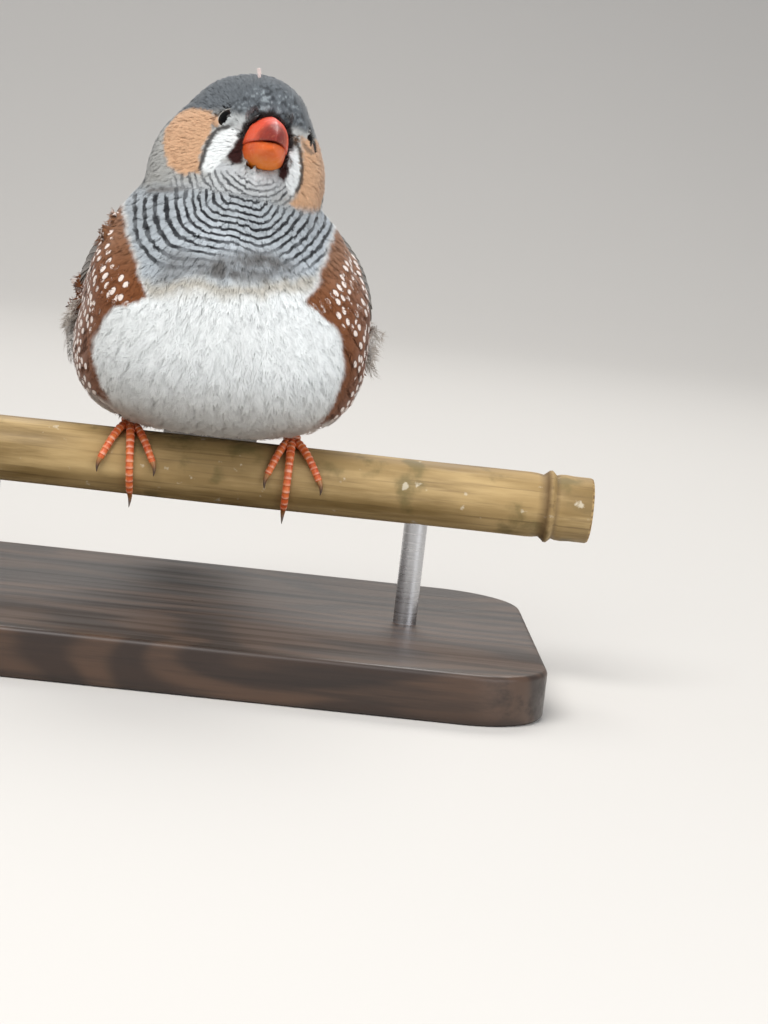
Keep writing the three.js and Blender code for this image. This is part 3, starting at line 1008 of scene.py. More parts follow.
        back = step(angle + 5 * soft, 112, 124)
        above = step(angle + 4 * soft, 74, 86) * step(rise + 0.72 * np.maximum(y, 0) + 0.6 * soft, 27.0, 29.0)
        above = above * step(rise, 15, 19)
        cape = np.maximum(back * step(rise, 15, 19), above)
        tint = blend(tint, self.mantle * (1 + 0.10 * broad[:, None] + 0.08 * fine[:, None]), cape)
        rump = back * step(-rise, -19, -15)
        black = rump * step(np.abs(x) + 0.6 * soft, 4.4, 5.4) * step(-np.abs(x), -10.5, -9)
        tint = blend(tint, self.black, black)

        inner = np.where(x < 0, *(self.border_at(side, rise) for side in (Side.RIGHT, Side.LEFT)))
        past = np.maximum(np.abs(x) - inner, (angle - 78) / 4) + 0.35 * soft + 0.25 * broad
        flank = step(past, -0.35, 0.45) * (1 - step(angle + 4 * soft, 128, 138))
        flank *= step(rise, 2.0 + 1.5 * soft, 5.5 + 1.5 * soft) * (1 - step(rise, 31, 33.5)) * (1 - above)
        chestnut = blend(np.tile(self.chestnut, (len(points), 1)), self.rust, 0.75 * step(rise, 21, 30))
        tint = blend(tint, chestnut * (1 + 0.10 * fine[:, None]), flank)

        ring, phase = self.necklace(x, rise)
        foot = 21.9 + 0.12 * x + 0.5 * soft + 0.6 * broad
        front = step(-y, -2, 2) * (1 - step(rise, 35.5, 37.5))
        front = front * (1 - step(past, -0.8, 0.1)) * (1 - step(angle, 68, 80))
        bib = front * step(rise, foot + 1.2, foot + 3.2)
        tint = blend(tint, self.fawn, 0.8 * front * step(rise, foot - 0.9, foot + 1.6))
        # The breast's pale ground, with painted shade: up to 14% darker on the bird's right side.
        pale = self.breast * (1 + 0.07 * fine[:, None]) * (1 - 0.14 * step(-x, 3, 10))[:, None]
        tint = blend(tint, pale, bib)
        middle = 1 - step(np.abs(x - 0.6) + 1.2 * broad, 7.5, 11)
        smudge = middle * step(rise + soft, foot + 1.6, foot + 3.2)
        smudge = smudge * (1 - step(rise + soft + 0.5 * broad, 26.6, 28.6))
        heart = np.exp(-((x - 3.8) ** 2) / 9 - (rise - 27.3) ** 2 / 2.2)
        heart = heart + np.exp(-((x + 0.6) ** 2) / 3.2 - (rise - 25.4) ** 2 / 1.0)
        smudge = np.clip(0.7 * smudge + 0.9 * heart * bib, 0, 1)
        tint = blend(tint, self.smudge, 0.9 * smudge * np.clip(0.9 + 0.5 * soft + 0.3 * fine, 0, 1))
        barring = bib * step(rise, foot + 2.2, foot + 4.4) * (1 - 0.85 * smudge)
        barring = barring * (1 - step(ring, 13.0, 14.0)) * np.clip(0.92 + 0.35 * soft, 0, 1)

        # Painted shadow: a dark brown line in the crease where the neck meets the breast, on the bird's
        # right.
        painted_crease_shadow = np.exp(-(((rise - 35.8 - 0.22 * (x + 7.6)) / 0.42) ** 2))
        painted_crease_shadow = painted_crease_shadow * step(-x, 5.5, 8) * (1 - step(-x, 12, 14)) * step(-y, 6, 9)
        tint = blend(tint, srgb(74, 62, 54), 0.75 * painted_crease_shadow)

        phase = phase + 0.10 * broad + 0.05 * soft
        marks = Marks(tint, phase, barring, flank * step(past, 0.4, 1.2))
        self.face(points, marks, soft, broad, fine)
        return marks

    def face(self, points: Array, marks: Marks, soft: Array, broad: Array, fine: Array) -> None:
        """Lays the head's markings over those of the body.

        Args:
            points: places in the part's frame.
            marks: the body's markings there, which are changed.
            soft: noise with swells of a millimetre.
            broad: noise with wider swells.
            fine: noise finer than a feather.
        """
        local = HEAD.inward(points)
        side, forward, up = local.T
        on_head = step(up, -9.5, -7.0) * step(points[:, 2] - PERCH_TOP, 33.5, 35.5)
        tint = np.tile(self.nape, (len(points), 1)) * (1 + 0.06 * broad[:, None])
        crown = step(up + 0.6 * soft, 1.8, 4.2)
        tint = blend(tint, self.crown * (1 + 0.12 * soft[:, None] + 0.16 * fine[:, None]), crown)
        under = 1 - step(up + 0.5 * soft, -1, 2.5)
        tint = blend(tint, self.pale, 0.8 * under * step(forward, -7, -2))
        flecks = step(fine, 0.30, 0.6) * step(forward, 5.2, 7.6) * step(up, 2.6, 3.6)
        tint = blend(tint, srgb(168, 178, 182), 0.55 * flecks)
        dark = step(-fine, 0.2, 0.55) * step(forward, 4.6, 7.2) * step(up, 2.8, 3.8)
        tint = blend(tint, srgb(44, 48, 52), 0.8 * dark)
        lores = step(forward, 4.0, 6.2) * (1 - step(up, 2.4, 3.4)) * step(np.abs(side), 2.8, 3.4)
        tint = blend(tint, srgb(186, 190, 190), 0.85 * lores * step(up, -4.5, -3))

        chin = (1 - step(up, -4.6, -3.8)) * step(forward, 1.0, 4.5)
        tint = blend(tint, self.throat * (1 + 0.12 * fine[:, None]), chin)
        throat_ring = np.hypot(0.95 * (side + 0.6), up + 3.2)
        throat_phase = throat_ring / 0.78 + 0.30 * soft
        marks.phase[:] = np.where(on_head > 0.5, throat_phase, marks.phase)
        barring = 0.85 * chin * step(throat_ring, 2.2, 3.4) * np.clip(0.8 + 0.5 * soft, 0, 1)

        for which in Side:
            here = step(side * which.value, 0.5, 1.5)
            flat = np.stack([side * which.value, up], 1) + 0.12 * np.stack([soft, fine], 1)
            profile = np.stack([forward, up], 1) + 0.18 * np.stack([soft, fine], 1)
            cheek = patch_distance(profile, self.cheek_outline[which])
            tint = blend(tint, self.pale, 0.7 * here * (1 - step(cheek, 0.3, 1.6)) * (1 - crown))
            patch = here * (1 - step(cheek, -0.35, 0.25))
            tint = blend(tint, self.cheek * (1 + 0.05 * fine[:, None]), patch)
            front = here * step(forward, 2.5, 4.0)
            tear = front * (1 - step(patch_distance(flat, self.tear_outline[which]), -0.15, 0.2))
            tint = blend(tint, self.white, tear)
            line = front * (1 - step(line_distance(flat, self.tear_line[which]), 0.16, 0.36))
            tint = blend(tint, self.soot, 0.85 * line)
            # The mouth's corners: gape skin with painted shade.
            gape_shade = front * (1 - step(patch_distance(flat, self.gape_shade_outline[which]), -0.1, 0.25))
            tint = blend(tint, self.gape_shade, gape_shade)
            middle = [which.value * (EYE.side + 0.9), EYE.forward + 1.0, EYE.up]
            eye = np.linalg.norm(local - middle, axis=1)
            ring = (1 - step(np.abs(eye - 1.75) + 0.2 * fine, 0.2, 0.55)) * step(-up, -2.4, -0.8)
            tint = blend(tint, srgb(70, 68, 66), 0.6 * ring)
            barring = barring * (1 - np.clip(patch + tear, 0, 1))
        root = np.hypot(side / 3.45, (up + 0.1) / 3.85)
        border = (1 - step(root + 0.05 * soft, 1.07, 1.17)) * step(forward, 5.5, 7) * step(up, -0.8, 0.2)
        tint = blend(tint, self.soot, border)
        marks.tint[:] = blend(marks.tint, tint, on_head)
        marks.barring[:] = marks.barring * (1 - on_head) + barring * on_head
        marks.spots[:] = marks.spots * (1 - on_head)


MARKINGS = Markings()


# ---- the body's skin


def egg(middle: Array, radii: Triple) -> tuple[Array, Array]:
    """Makes a closed egg in the head's directions.

    Args:
        middle: its middle, in the part's frame.
        radii: its radii to the side, forward and up.

    Returns:
        Its points and triangles.
    """
    rings, around = 14, 24
    polar = np.linspace(0.05, math.pi - 0.05, rings)[:, None]
    turn = round_turns(around)[None]
    ring = np.sin(polar)
    local = np.stack([ring * np.cos(turn), ring * np.sin(turn), np.cos(polar) + 0 * turn], -1)
    points = middle + (local.reshape(-1, 3) * np.array(radii)) @ HEAD.turn.T
    quads = grid_faces(rings, around, closed=True)[:, ::-1]
    sides = np.concatenate([quads[:, [0, 1, 2]], quads[:, [0, 2, 3]]])
    first, last = np.arange(around), np.arange(around) + (rings - 1) * around
    caps = [[first[0], first[k], first[k + 1]] for k in range(1, around - 1)]
    caps += [[last[0], last[k + 1], last[k]] for k in range(1, around - 1)]
    return points, np.concatenate([sides, np.array(caps)])


@dataclass
class Body:
    """Torso, neck and head as one skin without a seam, a coat's depth inside their solids.

    Attributes:
        nodes: the CAD nodes that the skin stands for.
        voxel: the width of the mesh's cells.
        closing: how far the solids are swelled so that their thin gaps close.
        eye_plug: how far past the eyeballs their sockets are filled.
        sunk: how much deeper the face's skin lies, so that its short feathers hide it.
        wing_end: how far back the wings still guide the coat.
        bill_plug: the middle and radii that fill the bill's socket, in the head's directions.
        smoothing: how strongly the remeshed solids are smoothed, and how often.
        rounds: how many steps let the skin in.
    """

    nodes: tuple[str, ...] = ("torso", "neck", "head")
    voxel: float = 0.55
    closing: float = 0.28
    eye_plug: ClassVar[dict[Side, float]] = {Side.RIGHT: 0.30, Side.LEFT: 0.50}
    sunk: float = 0.09
    wing_end: float = 26.0
    bill_plug: tuple[Triple, Triple] = ((0, 5.2, -0.3), (3.3, 3.2, 3.9))
    smoothing: tuple[float, int] = (0.5, 7)
    rounds: int = 5

    @staticmethod
    def depth(points: Array) -> Array:
        """Works out how deep the coat is.

        Args:
            points: places near the skin.

        Returns:
            One depth for each place.
        """
        local = HEAD.inward(points)
        rise = points[:, 2] - PERCH_TOP
        head = step(local[:, 2], -10, -6)
        on_head = 0.95 - 0.45 * step(local[:, 1], 1.5, 6.5)
        belly = step(-rise, -24, -14) * step(-points[:, 1], -16, 0)
        on_body = 1.45 + 0.65 * belly
        return on_head * head + on_body * (1 - head)

    def shrunk(self, points: Array, triangles: Array) -> tuple[Array, Array, Array]:
        """One closed skin round some solids, let in by the coat's depth.

        Args:
            points: the solids' points.
            triangles: their triangles.

        Returns:
            The skin's points, quads and triangles.
        """
        mesh = bpy.data.meshes.new("skin_source")
        mesh.from_pydata((points * MM).tolist(), [], triangles.tolist())
        made = placed("skin_source", mesh)
        remesh = made.modifiers.new("whole", "REMESH")
        remesh.mode, remesh.voxel_size = "VOXEL", self.voxel * MM
        smooth = made.modifiers.new("smooth", "SMOOTH")
        smooth.factor, smooth.iterations = self.smoothing
        graph = bpy.context.evaluated_depsgraph_get()
        whole = bpy.data.meshes.new_from_object(made.evaluated_get(graph))
        bpy.data.objects.remove(made)
        corners = np.zeros(len(whole.loops), np.int32)
        whole.loops.foreach_get("vertex_index", corners)
        self.quads = corners.reshape(-1, 4)
        points, triangles = mesh_arrays(whole)
        for _ in range(self.rounds):
            inset = self.closing + self.depth(points)
            points = points - inset[:, None] / self.rounds * point_normals(points, triangles)
            points = self.relaxed(points)
        return points, self.quads, triangles

    def build(self) -> None:
        """Makes the skin, its flat map and the field that the coat is grown in."""
        points, triangles = node_arrays(*self.nodes)
        points = points + self.closing * point_normals(points, triangles)
        plugs = [egg(HEAD.outward(self.bill_plug[0]), self.bill_plug[1])]
        plugs += [egg(EYE.middle(side), (EYE.radius + self.eye_plug[side],) * 3) for side in Side]
        for plug, faces in plugs:
            triangles = np.concatenate([triangles, faces + len(points)])
            points = np.concatenate([points, plug])
        wing_points, wing_triangles = node_arrays(*WINGS)
        near = wing_points[wing_triangles].mean(1)[:, 1] < self.wing_end
        hull = np.concatenate([triangles, wing_triangles[near] + len(points)])
        over, _, over_triangles = self.shrunk(np.concatenate([points, wing_points]), hull)
        self.field = SkinField(over, over_triangles)

        points, quads, triangles = self.shrunk(points, triangles)
        face = head_mask(points) * step(HEAD.inward(points)[:, 1], 3.0, 5.5)
        points = points - (self.sunk * face)[:, None] * point_normals(points, triangles)
        self.points = points
        marks = MARKINGS.read(points)
        values = {"tint": marks.tint, "phase": marks.phase, "barring": marks.barring, "spots": marks.spots}
        finish = Plumage("skin_under_feathers", barred=True).build()
        skin = Shape(points, quads, values)
        self.object = make_object("body_skin", skin, finish, self.nodes)
        self.unwrap()

    def relaxed(self, points: Array) -> Array:
        """Evens out the mesh once.

        Args:
            points: the mesh's points.

        Returns:
            The points after it.
        """
        total, count = np.zeros_like(points), np.zeros((len(points), 1))
        for k in range(4):
            ends = self.quads[:, [k, (k + 1) % 4]]
            np.add.at(total, ends[:, 0], points[ends[:, 1]])
            np.add.at(total, ends[:, 1], points[ends[:, 0]])
            np.add.at(count, ends[:, 0], 1)
            np.add.at(count, ends[:, 1], 1)
        return points + 0.5 * (total / np.maximum(count, 1) - points)

    def unwrap(self) -> None:
        """Lays the skin out flat, so that each root has a place of its own."""
        bpy.context.view_layer.objects.active = self.object
        self.object.select_set(True)
        bpy.ops.object.mode_set(mode="EDIT")
        bpy.ops.mesh.select_all(action="SELECT")
        bpy.ops.uv.smart_project(angle_limit=math.radians(66), island_margin=0.004)
        bpy.ops.object.mode_set(mode="OBJECT")
        self.object.select_set(False)
        mesh = self.object.data
        layer = mesh.uv_layers.active
        layer.name = "OFBake"
        flat = np.zeros(len(mesh.loops) * 2, np.float32)
        layer.data.foreach_get("uv", flat)
        self.flat = flat.reshape(-1, 4, 2).astype(float)

    def scatter(self, spacing: float, wanted: Callable[[Array], Array], seed: int) -> tuple[Array, Array]:
        """Spreads roots evenly over a region of the skin.

        Args:
            spacing: the least way between two roots.
            wanted: for some places, which of them the region holds.
            seed: picks one spread out of many.

        Returns:
            The roots, and each root's place on the flat map.
        """
        rng = np.random.default_rng(seed)
        a, b, c, d = (self.points[self.quads[:, k]] for k in range(4))
        area = np.linalg.norm(np.cross(c - a, d - b), axis=1) / 2
        area = area * wanted((a + b + c + d) / 4)
        count = int(area.sum() / spacing**2 * 3.2)
        face = rng.choice(len(area), count, p=area / area.sum())
        u, v = rng.random((2, count, 1))
        shares = [(1 - u) * (1 - v), u * (1 - v), u * v, (1 - u) * v]
        places = sum(s * corner[face] for s, corner in zip(shares, (a, b, c, d)))
        flat = sum(s * self.flat[face, k] for k, s in enumerate(shares))
        tree = KDTree(count)
        for k, place in enumerate(places):
            tree.insert(place, k)
        tree.balance()
        kept = np.ones(count, bool)
        for k in range(count):
            if kept[k]:
                for _, near, _ in tree.find_range(places[k], spacing):
                    kept[near] = near == k
        return places[kept], flat[kept]


class SkinField:
    """How far any place lies from the skin, and which way leads out of it."""

    def __init__(self, points: Array, triangles: Array, pitch: float = 1.0, margin: float = 7.0) -> None:
        """Samples the distance on a grid.

        Args:
            points: the skin's points, let in under the wings too, so that the coat runs on over their edges.
            triangles: its triangles.
            pitch: the grid's cell.
            margin: how far the grid goes past the skin.
        """
        tree = BVHTree.FromPolygons(points.tolist(), triangles.tolist())
        self.pitch = pitch
        self.low = points.min(0) - margin
        self.count = np.ceil((points.max(0) + margin - self.low) / pitch).astype(int) + 1
        axes = [self.low[k] + pitch * np.arange(self.count[k]) for k in range(3)]
        values = np.zeros(self.count)
        for i, px in enumerate(axes[0]):
            for j, py in enumerate(axes[1]):
                for k, pz in enumerate(axes[2]):
                    at = Vector((px, py, pz))
                    hit, normal, _, far = tree.find_nearest(at)
                    values[i, j, k] = math.copysign(far, (at - hit).dot(normal))
        self.grid = np.concatenate([values[..., None], np.stack(np.gradient(values, pitch), -1)], -1)

    def read(self, points: Array) -> tuple[Array, Array]:
        """Reads the field at some places.

        Args:
            points: places near the skin.

        Returns:
            How far outside the skin each lies, and the outward direction there.
        """
        at = np.clip((points - self.low) / self.pitch, 0, self.count - 1.001)
        low = at.astype(int)
        t = at - low
        total = np.zeros((len(points), 4))
        for corner in np.ndindex(2, 2, 2):
            share = np.prod(np.where(np.array(corner) == 1, t, 1 - t), axis=1)
            i, j, k = (low + np.array(corner)).T
            total += share[:, None] * self.grid[i, j, k]
        return total[:, 0], unit(total[:, 1:])


def lie(points: Array, normals: Array) -> Array:
    """The way that feathers lie: back from the bill on the head, away from the throat on the body.

    Args:
        points: places near the skin.
        normals: the outward directions there.

    Returns:
        Directions along the skin.
    """
    head = step(points[:, 2] - PERCH_TOP, 31, 38)[:, None]
    away = unit(points - THROAT - np.array([0, 3.0, 2.0]))
    back = unit(points - BILL_BASE)
    way = away * (1 - head) + back * head
    settle = step(-points[:, 2] + PERCH_TOP, -22, -6)[:, None]
    way = unit(way + settle * np.array([0, 0.35, 0]))
    for side in Side:
        gap = np.maximum(np.linalg.norm(points - EYE.middle(side), axis=1, keepdims=True) - EYE.radius, 0)
        way = way + 1.1 * np.exp(-gap / 0.6) * unit(points - EYE.middle(side))
    return unit(way - dot(way, normals) * normals)


# ---- feathers of the coat


@dataclass(frozen=True)
class Feather:
    """How one region's small feathers are made.

    Attributes:
        length: from root to tip.
        width: across the vane.
        spacing: the way between neighbouring roots.
        barbs: pairs of barbs.
        barb: the width of one barb at its shaft.
        sweep: how far a barb runs toward the tip, as a share of the length.
        loose: how far barbs stray from the vane.
        lift: how far up the coat's depth the tip reaches.
        start: how far up the coat's depth the root's end of the vane lies.
        scatter: how far feathers turn from the lie of the coat, in degrees.
        lean: how far the shading turns from shaft to edge.
        streak: how far barbs differ in shade.
        ragged: how far barbs differ in reach.
    """

    length: float
    width: float
    spacing: float
    barbs: int
    barb: float
    sweep: float = 0.45
    loose: float = 0.08
    lift: float = 0.95
    start: float = 0.30
    scatter: float = 7.0
    lean: float = 0.14
    streak: float = 0.05
    ragged: float = 0.6


@dataclass(frozen=True)
class Region:
    """A part of the coat: its feathers and where they grow.

    Attributes:
        name: the piece's name after coat_.
        feather: their make.
        zones: for some places, each says which it holds.
        slot: the record's material slot, which is not used.
        spotted: draws the paired spots.
        barred: draws the bars.
        tone: their colour, where it isn't the markings'.
    """

    name: str
    feather: Feather
    zones: Sequence[Callable[[Array], Array]]
    slot: str = "body_feathers"
    spotted: bool = False
    barred: bool = False
    tone: Array | None = None

    def holds(self, points: Array) -> Array:
        """Which places any of its zones holds."""
        return np.any([zone(points) for zone in self.zones], axis=0)


@dataclass
class Shafts:
    """The shafts of some feathers, each a short chain of points that follows the skin.

    Attributes:
        chain: places, for each feather and step.
        outs: the outward directions there.
        ways: the headings there.
        length: each feather's length.
        flat: each root's place on the flat map.
    """

    chain: Array
    outs: Array
    ways: Array
    length: Array
    flat: Array

    def kept(self, which: Array) -> "Shafts":
        """Some of the shafts."""
        return Shafts(*(getattr(self, part.name)[which] for part in fields(self)))

    def along(self, at: Array) -> tuple[Array, Array, Array]:
        """Reads the shafts part of the way along.

        Args:
            at: for each feather, several shares of its length, which may pass its tip.

        Returns:
            Places, outward directions and headings, for each share.
        """
        steps = self.chain.shape[1] - 1
        scaled = np.clip(at, 0, 1) * steps
        low = np.minimum(scaled.astype(int), steps - 1)
        t = (scaled - low)[..., None]
        row = np.arange(len(self.chain))[:, None]
        parts = (self.chain, self.outs, self.ways)
        place, out, way = ((1 - t) * v[row, low] + t * v[row, low + 1] for v in parts)
        past = np.maximum(at - 1, 0) * self.length[:, None]
        return place + way * past[..., None], unit(out), unit(way)


class Coat:
    """Grows the small feathers of each region over the skin.

    Attributes:
        rachis_steps: stretches in each shaft.
        patch: the width of a feather's patch on the flat map.
        past_eyelid: how far round the eye from the lids' edge the coat starts, as an angle.
        by_eyelid: the least length of a feather there, its length at the edge, and its gain with the way off.
        under_wing: how near above a root a wing keeps it bare.
        stray_tip: how far a tip may stray from the solids.
        raised: the lift from which feathers may stray.
        bill_gap: the bare patch round the bill: its half width, its height above the seam, and below it.
        bill_seam: the height of that patch's middle.
        bill_back: how far forward it starts.
    """

    rachis_steps = 5
    patch = 0.003
    past_eyelid = 0.08
    by_eyelid = (0.5, 0.35, 0.8)
    under_wing = 3.4
    stray_tip = 0.6
    raised = 1.2
    bill_gap = (2.7, 4.0, 2.5)
    bill_seam = -1.0
    bill_back = 5.0

    def __init__(self, body: Body, wings: BVHTree, solids: BVHTree) -> None:
        """Keeps what the coat grows from and has to stay clear of.

        Args:
            body: the skin.
            wings: the wings, under which no coat grows.
            solids: all the solids that it lies on.
        """
        self.body = body
        self.wings = wings
        self.solids = solids

    def clear(self, roots: Array, normals: Array) -> Array:
        """Finds the roots that are free of the bill, the eyes and the wings.

        Args:
            roots: where feathers could grow.
            normals: the outward directions there.

        Returns:
            True for each free root.
        """
        side, forward, up = HEAD.inward(roots).T
        wide, above, below = self.bill_gap
        high = (up - self.bill_seam) / np.where(up > self.bill_seam, above, below)
        bill = (np.hypot(side / wide, high) < 1) & (forward > self.bill_back)
        eyes = np.zeros(len(roots), bool)
        for which in Side:
            eyes |= Eyes.past_lids(roots, which) < self.past_eyelid
        under = np.zeros(len(roots), bool)
        for k, (root, normal) in enumerate(zip(roots, normals)):
            hit = self.wings.ray_cast(Vector(root - normal), Vector(normal), self.under_wing)
            under[k] = hit[0] is not None
        return ~(bill | eyes | under)

    def shafts(self, roots: Array, flat: Array, feather: Feather, length: Array, rng: Draws) -> Shafts:
        """Lays the shafts of some feathers along the skin.

        Args:
            roots: where they grow.
            flat: each root's place on the flat map.
            feather: their make.
            length: each one's length.
            rng: the draws.

        Returns:
            The shafts.
        """
        body = self.body
        point = roots.copy()
        _, normal = body.field.read(point)
        turn = np.radians(feather.scatter) * rng.normal(size=len(roots))[:, None]
        lifted = np.clip(feather.lift + 0.08 * rng.normal(size=len(roots)), 0.3, max(1.12, feather.lift))
        depth = body.depth(roots)
        chain, outs, ways = [], [], []
        for k in range(self.rachis_steps + 1):
            t = k / self.rachis_steps
            way = lie(point, normal)
            way = way * np.cos(turn) + np.cross(normal, way) * np.sin(turn)
            if k:
                point = point + way * (length / self.rachis_steps)[:, None]
            far, normal = body.field.read(point)
            share = feather.start + (lifted - feather.start) * math.sin(0.5 * math.pi * min(t * 1.15, 1))
            point = point + normal * (depth * share - far)[:, None]
            chain.append(point.copy())
            outs.append(normal.copy())
            ways.append(way)
        return Shafts(np.stack(chain, 1), np.stack(outs, 1), np.stack(ways, 1), length, flat)

    def grow(self, region: Region, seed: int) -> None:
        """Makes one region's feathers as one piece of the coat.

        Args:
            region: what grows, and where.
            seed: the draws.
        """
        feather = region.feather
        rng = np.random.default_rng(seed)
        roots, flat = self.body.scatter(feather.spacing, region.holds, seed)
        _, normals = self.body.field.read(roots)
        free = self.clear(roots, normals)
        roots, flat = roots[free], flat[free]
        length = feather.length * rng.uniform(0.82, 1.15, len(roots))
        least, at_edge, gain = self.by_eyelid
        for which in Side:
            gap = EYE.radius * Eyes.past_lids(roots, which)
            length = np.minimum(length, np.maximum(least, at_edge + gain * gap))
        shafts = self.shafts(roots, flat, feather, length, rng)
        tips = [self.solids.find_nearest(Vector(tip))[3] for tip in shafts.chain[:, -1]]
        tidy = (np.array(tips) < self.stray_tip) | (feather.lift > self.raised)
        shape = self.barbs(feather, shafts.kept(tidy), rng)
        marks = MARKINGS.read(shape.points + shape.values.pop("slip"))
        shade = shape.values.pop("shade")[:, None]
        tint = marks.tint if region.tone is None else np.tile(region.tone, (len(marks.tint), 1))
        shape.values.update(tint=tint * shade, phase=marks.phase, barring=marks.barring, spots=marks.spots)
        finish = Plumage(f"feathers_{region.name}", spotted=region.spotted, barred=region.barred).build()
        make_object(f"coat_{region.name}", shape, finish)
        log.info("coat_%s: %d feathers", region.name, tidy.sum())

    def barbs(self, feather: Feather, shafts: Shafts, rng: Draws) -> Shape:
        """Makes the barbs of some feathers: curved blades on the slant from each shaft.

        Args:
            feather: their make.
            shafts: where they lie.
            rng: the draws.

        Returns:
            A shape with five points and three triangles to a barb.
        """
        feathers, pairs = len(shafts.chain), feather.barbs
        side = np.tile(np.array([-1.0, 1.0]), pairs)
        base = np.repeat((np.arange(pairs) + 0.6) / pairs, 2) * 0.93
        size = (feathers, 2 * pairs)
        start = np.clip(base + rng.uniform(-0.35, 0.35, size) / pairs, 0.02, 0.97)
        reach = np.sin(math.pi * np.clip(0.16 + 0.72 * start, 0, 1)) ** 0.7
        wide = feather.width / 2 * reach * rng.uniform(1.15 - feather.ragged, 1.15, size)
        sweep = feather.sweep * rng.uniform(0.75, 1.25, size) * (1 - 0.45 * start)
        stray = feather.loose * rng.normal(size=(3, *size))
        stations = []
        for share in (0.0, 0.5, 1.0):
            at = start + sweep * share**1.15
            place, out, way = shafts.along(at)
            across = np.cross(out, way)
            shift = side * wide * share**0.85
            bowl = -0.10 * (wide * share) ** 2 / max(feather.width, 0.1) + 0.35 * stray[0] * share**2
            middle = place + across * (shift + stray[1] * share**2)[..., None] + out * bowl[..., None]
            middle = middle + way * (stray[2] * share**2)[..., None]
            lean = unit(out + across * (feather.lean * side * share)[..., None] - 0.08 * way)
            spread = np.stack([shift / (feather.width / 2), np.clip(at, 0, 1.15)], -1)
            stations.append((middle, lean, spread))
        edge = unit(np.cross(stations[1][1], stations[2][0] - stations[0][0]))
        half = 0.5 * feather.barb * (0.7 + 0.3 * reach)[..., None]
        rows = []
        for (middle, lean, spread), blade in zip(stations, (0.8, 1.0, 0.0)):
            for end in (-1, 1) if blade else (0,):
                rows.append((middle + edge * (end * blade * half), lean, spread))
        points = np.stack([r[0] for r in rows], 2)
        normals = np.stack([r[1] for r in rows], 2)
        spread = np.stack([r[2] for r in rows], 2)
        corner = 5 * np.arange(feathers * 2 * pairs)[:, None, None]
        faces = (np.array([[0, 1, 3], [0, 3, 2], [2, 3, 4]]) + corner).reshape(-1, 3)
        points, normals, spread = (v.reshape(-1, v.shape[-1]) for v in (points, normals, spread))
        a, b, c = (points[faces[:, k]] for k in range(3))
        wrong = (np.cross(b - a, c - a) * normals[faces[:, 0]]).sum(1) < 0
        faces[wrong] = faces[wrong][:, [0, 2, 1]]
        each = 10 * pairs
        shade = np.repeat(rng.uniform(0.95, 1.05, feathers), each)
        # Painted shade deep in the coat: each barb is up to 10% darker toward its root.
        shade = shade * (0.90 + 0.10 * np.clip(spread[:, 1], 0, 1))
        shade *= np.repeat(rng.uniform(1 - feather.streak, 1 + feather.streak, feathers * 2 * pairs), 5)
        slip = np.repeat(0.07 * rng.normal(size=(feathers, 3)), each, axis=0)
        place = np.clip(np.stack([spread[:, 0], 2 * spread[:, 1] - 1], 1), -1, 1)
        uv = np.repeat(shafts.flat, each, axis=0) + 0.5 * self.patch * place
        values = {"across": spread[:, 0], "along": spread[:, 1], "shade": shade, "slip": slip}
        return Shape(points, faces, values, uv, normals)


def head_mask(points: Array) -> Array:
    """True on the head, down to the throat's fold, and False on the body."""
    return (HEAD.inward(points)[:, 2] > -8.6) & (points[:, 2] - PERCH_TOP > 34.3)


@dataclass(frozen=True)
class Zone:
    """A part of the skin between bounds, each a low and a high one.

    Attributes:
        head: whether it is on the head, rather than the body.
        side: the side it is on, where it is on one only.
        forward: along the head's own forward direction.
        up: along its upward direction.
        rise: above the perch.
        angle: round the body from the breast, in degrees.
    """

    head: bool
    side: Side | None = None
    forward: Pair = (-math.inf, math.inf)
    up: Pair = (-math.inf, math.inf)
    rise: Pair = (-math.inf, math.inf)
    angle: Pair = (-math.inf, math.inf)

    def __call__(self, points: Array) -> Array:
        """Finds which places the zone holds.

        Args:
            points: places near the skin.

        Returns:
            True for each place inside.
        """
        _, forward, up = HEAD.inward(points).T
        angle = np.degrees(np.arctan2(np.abs(points[:, 0]), -(points[:, 1] - 4)))
        held = head_mask(points) == self.head
        measures = (forward, up, points[:, 2] - PERCH_TOP, angle)
        for measure, (low, high) in zip(measures, (self.forward, self.up, self.rise, self.angle)):
            held &= (measure > low) & (measure <= high)
        if self.side is not None:
            held &= points[:, 0] * self.side.value > 0
        return held


def spotted_flanks(points: Array) -> Array:
    """Where the white spots are, a feather's reach before them."""
    return MARKINGS.read(points + 2.2 * unit(points - THROAT)).spots > 0.35


def crown_spot(points: Array) -> Array:
    """The root of the tiny tuft on the crown."""
    return np.linalg.norm(points - [2.2, -8.0, PERCH_TOP + 51.6], axis=1) < 0.5


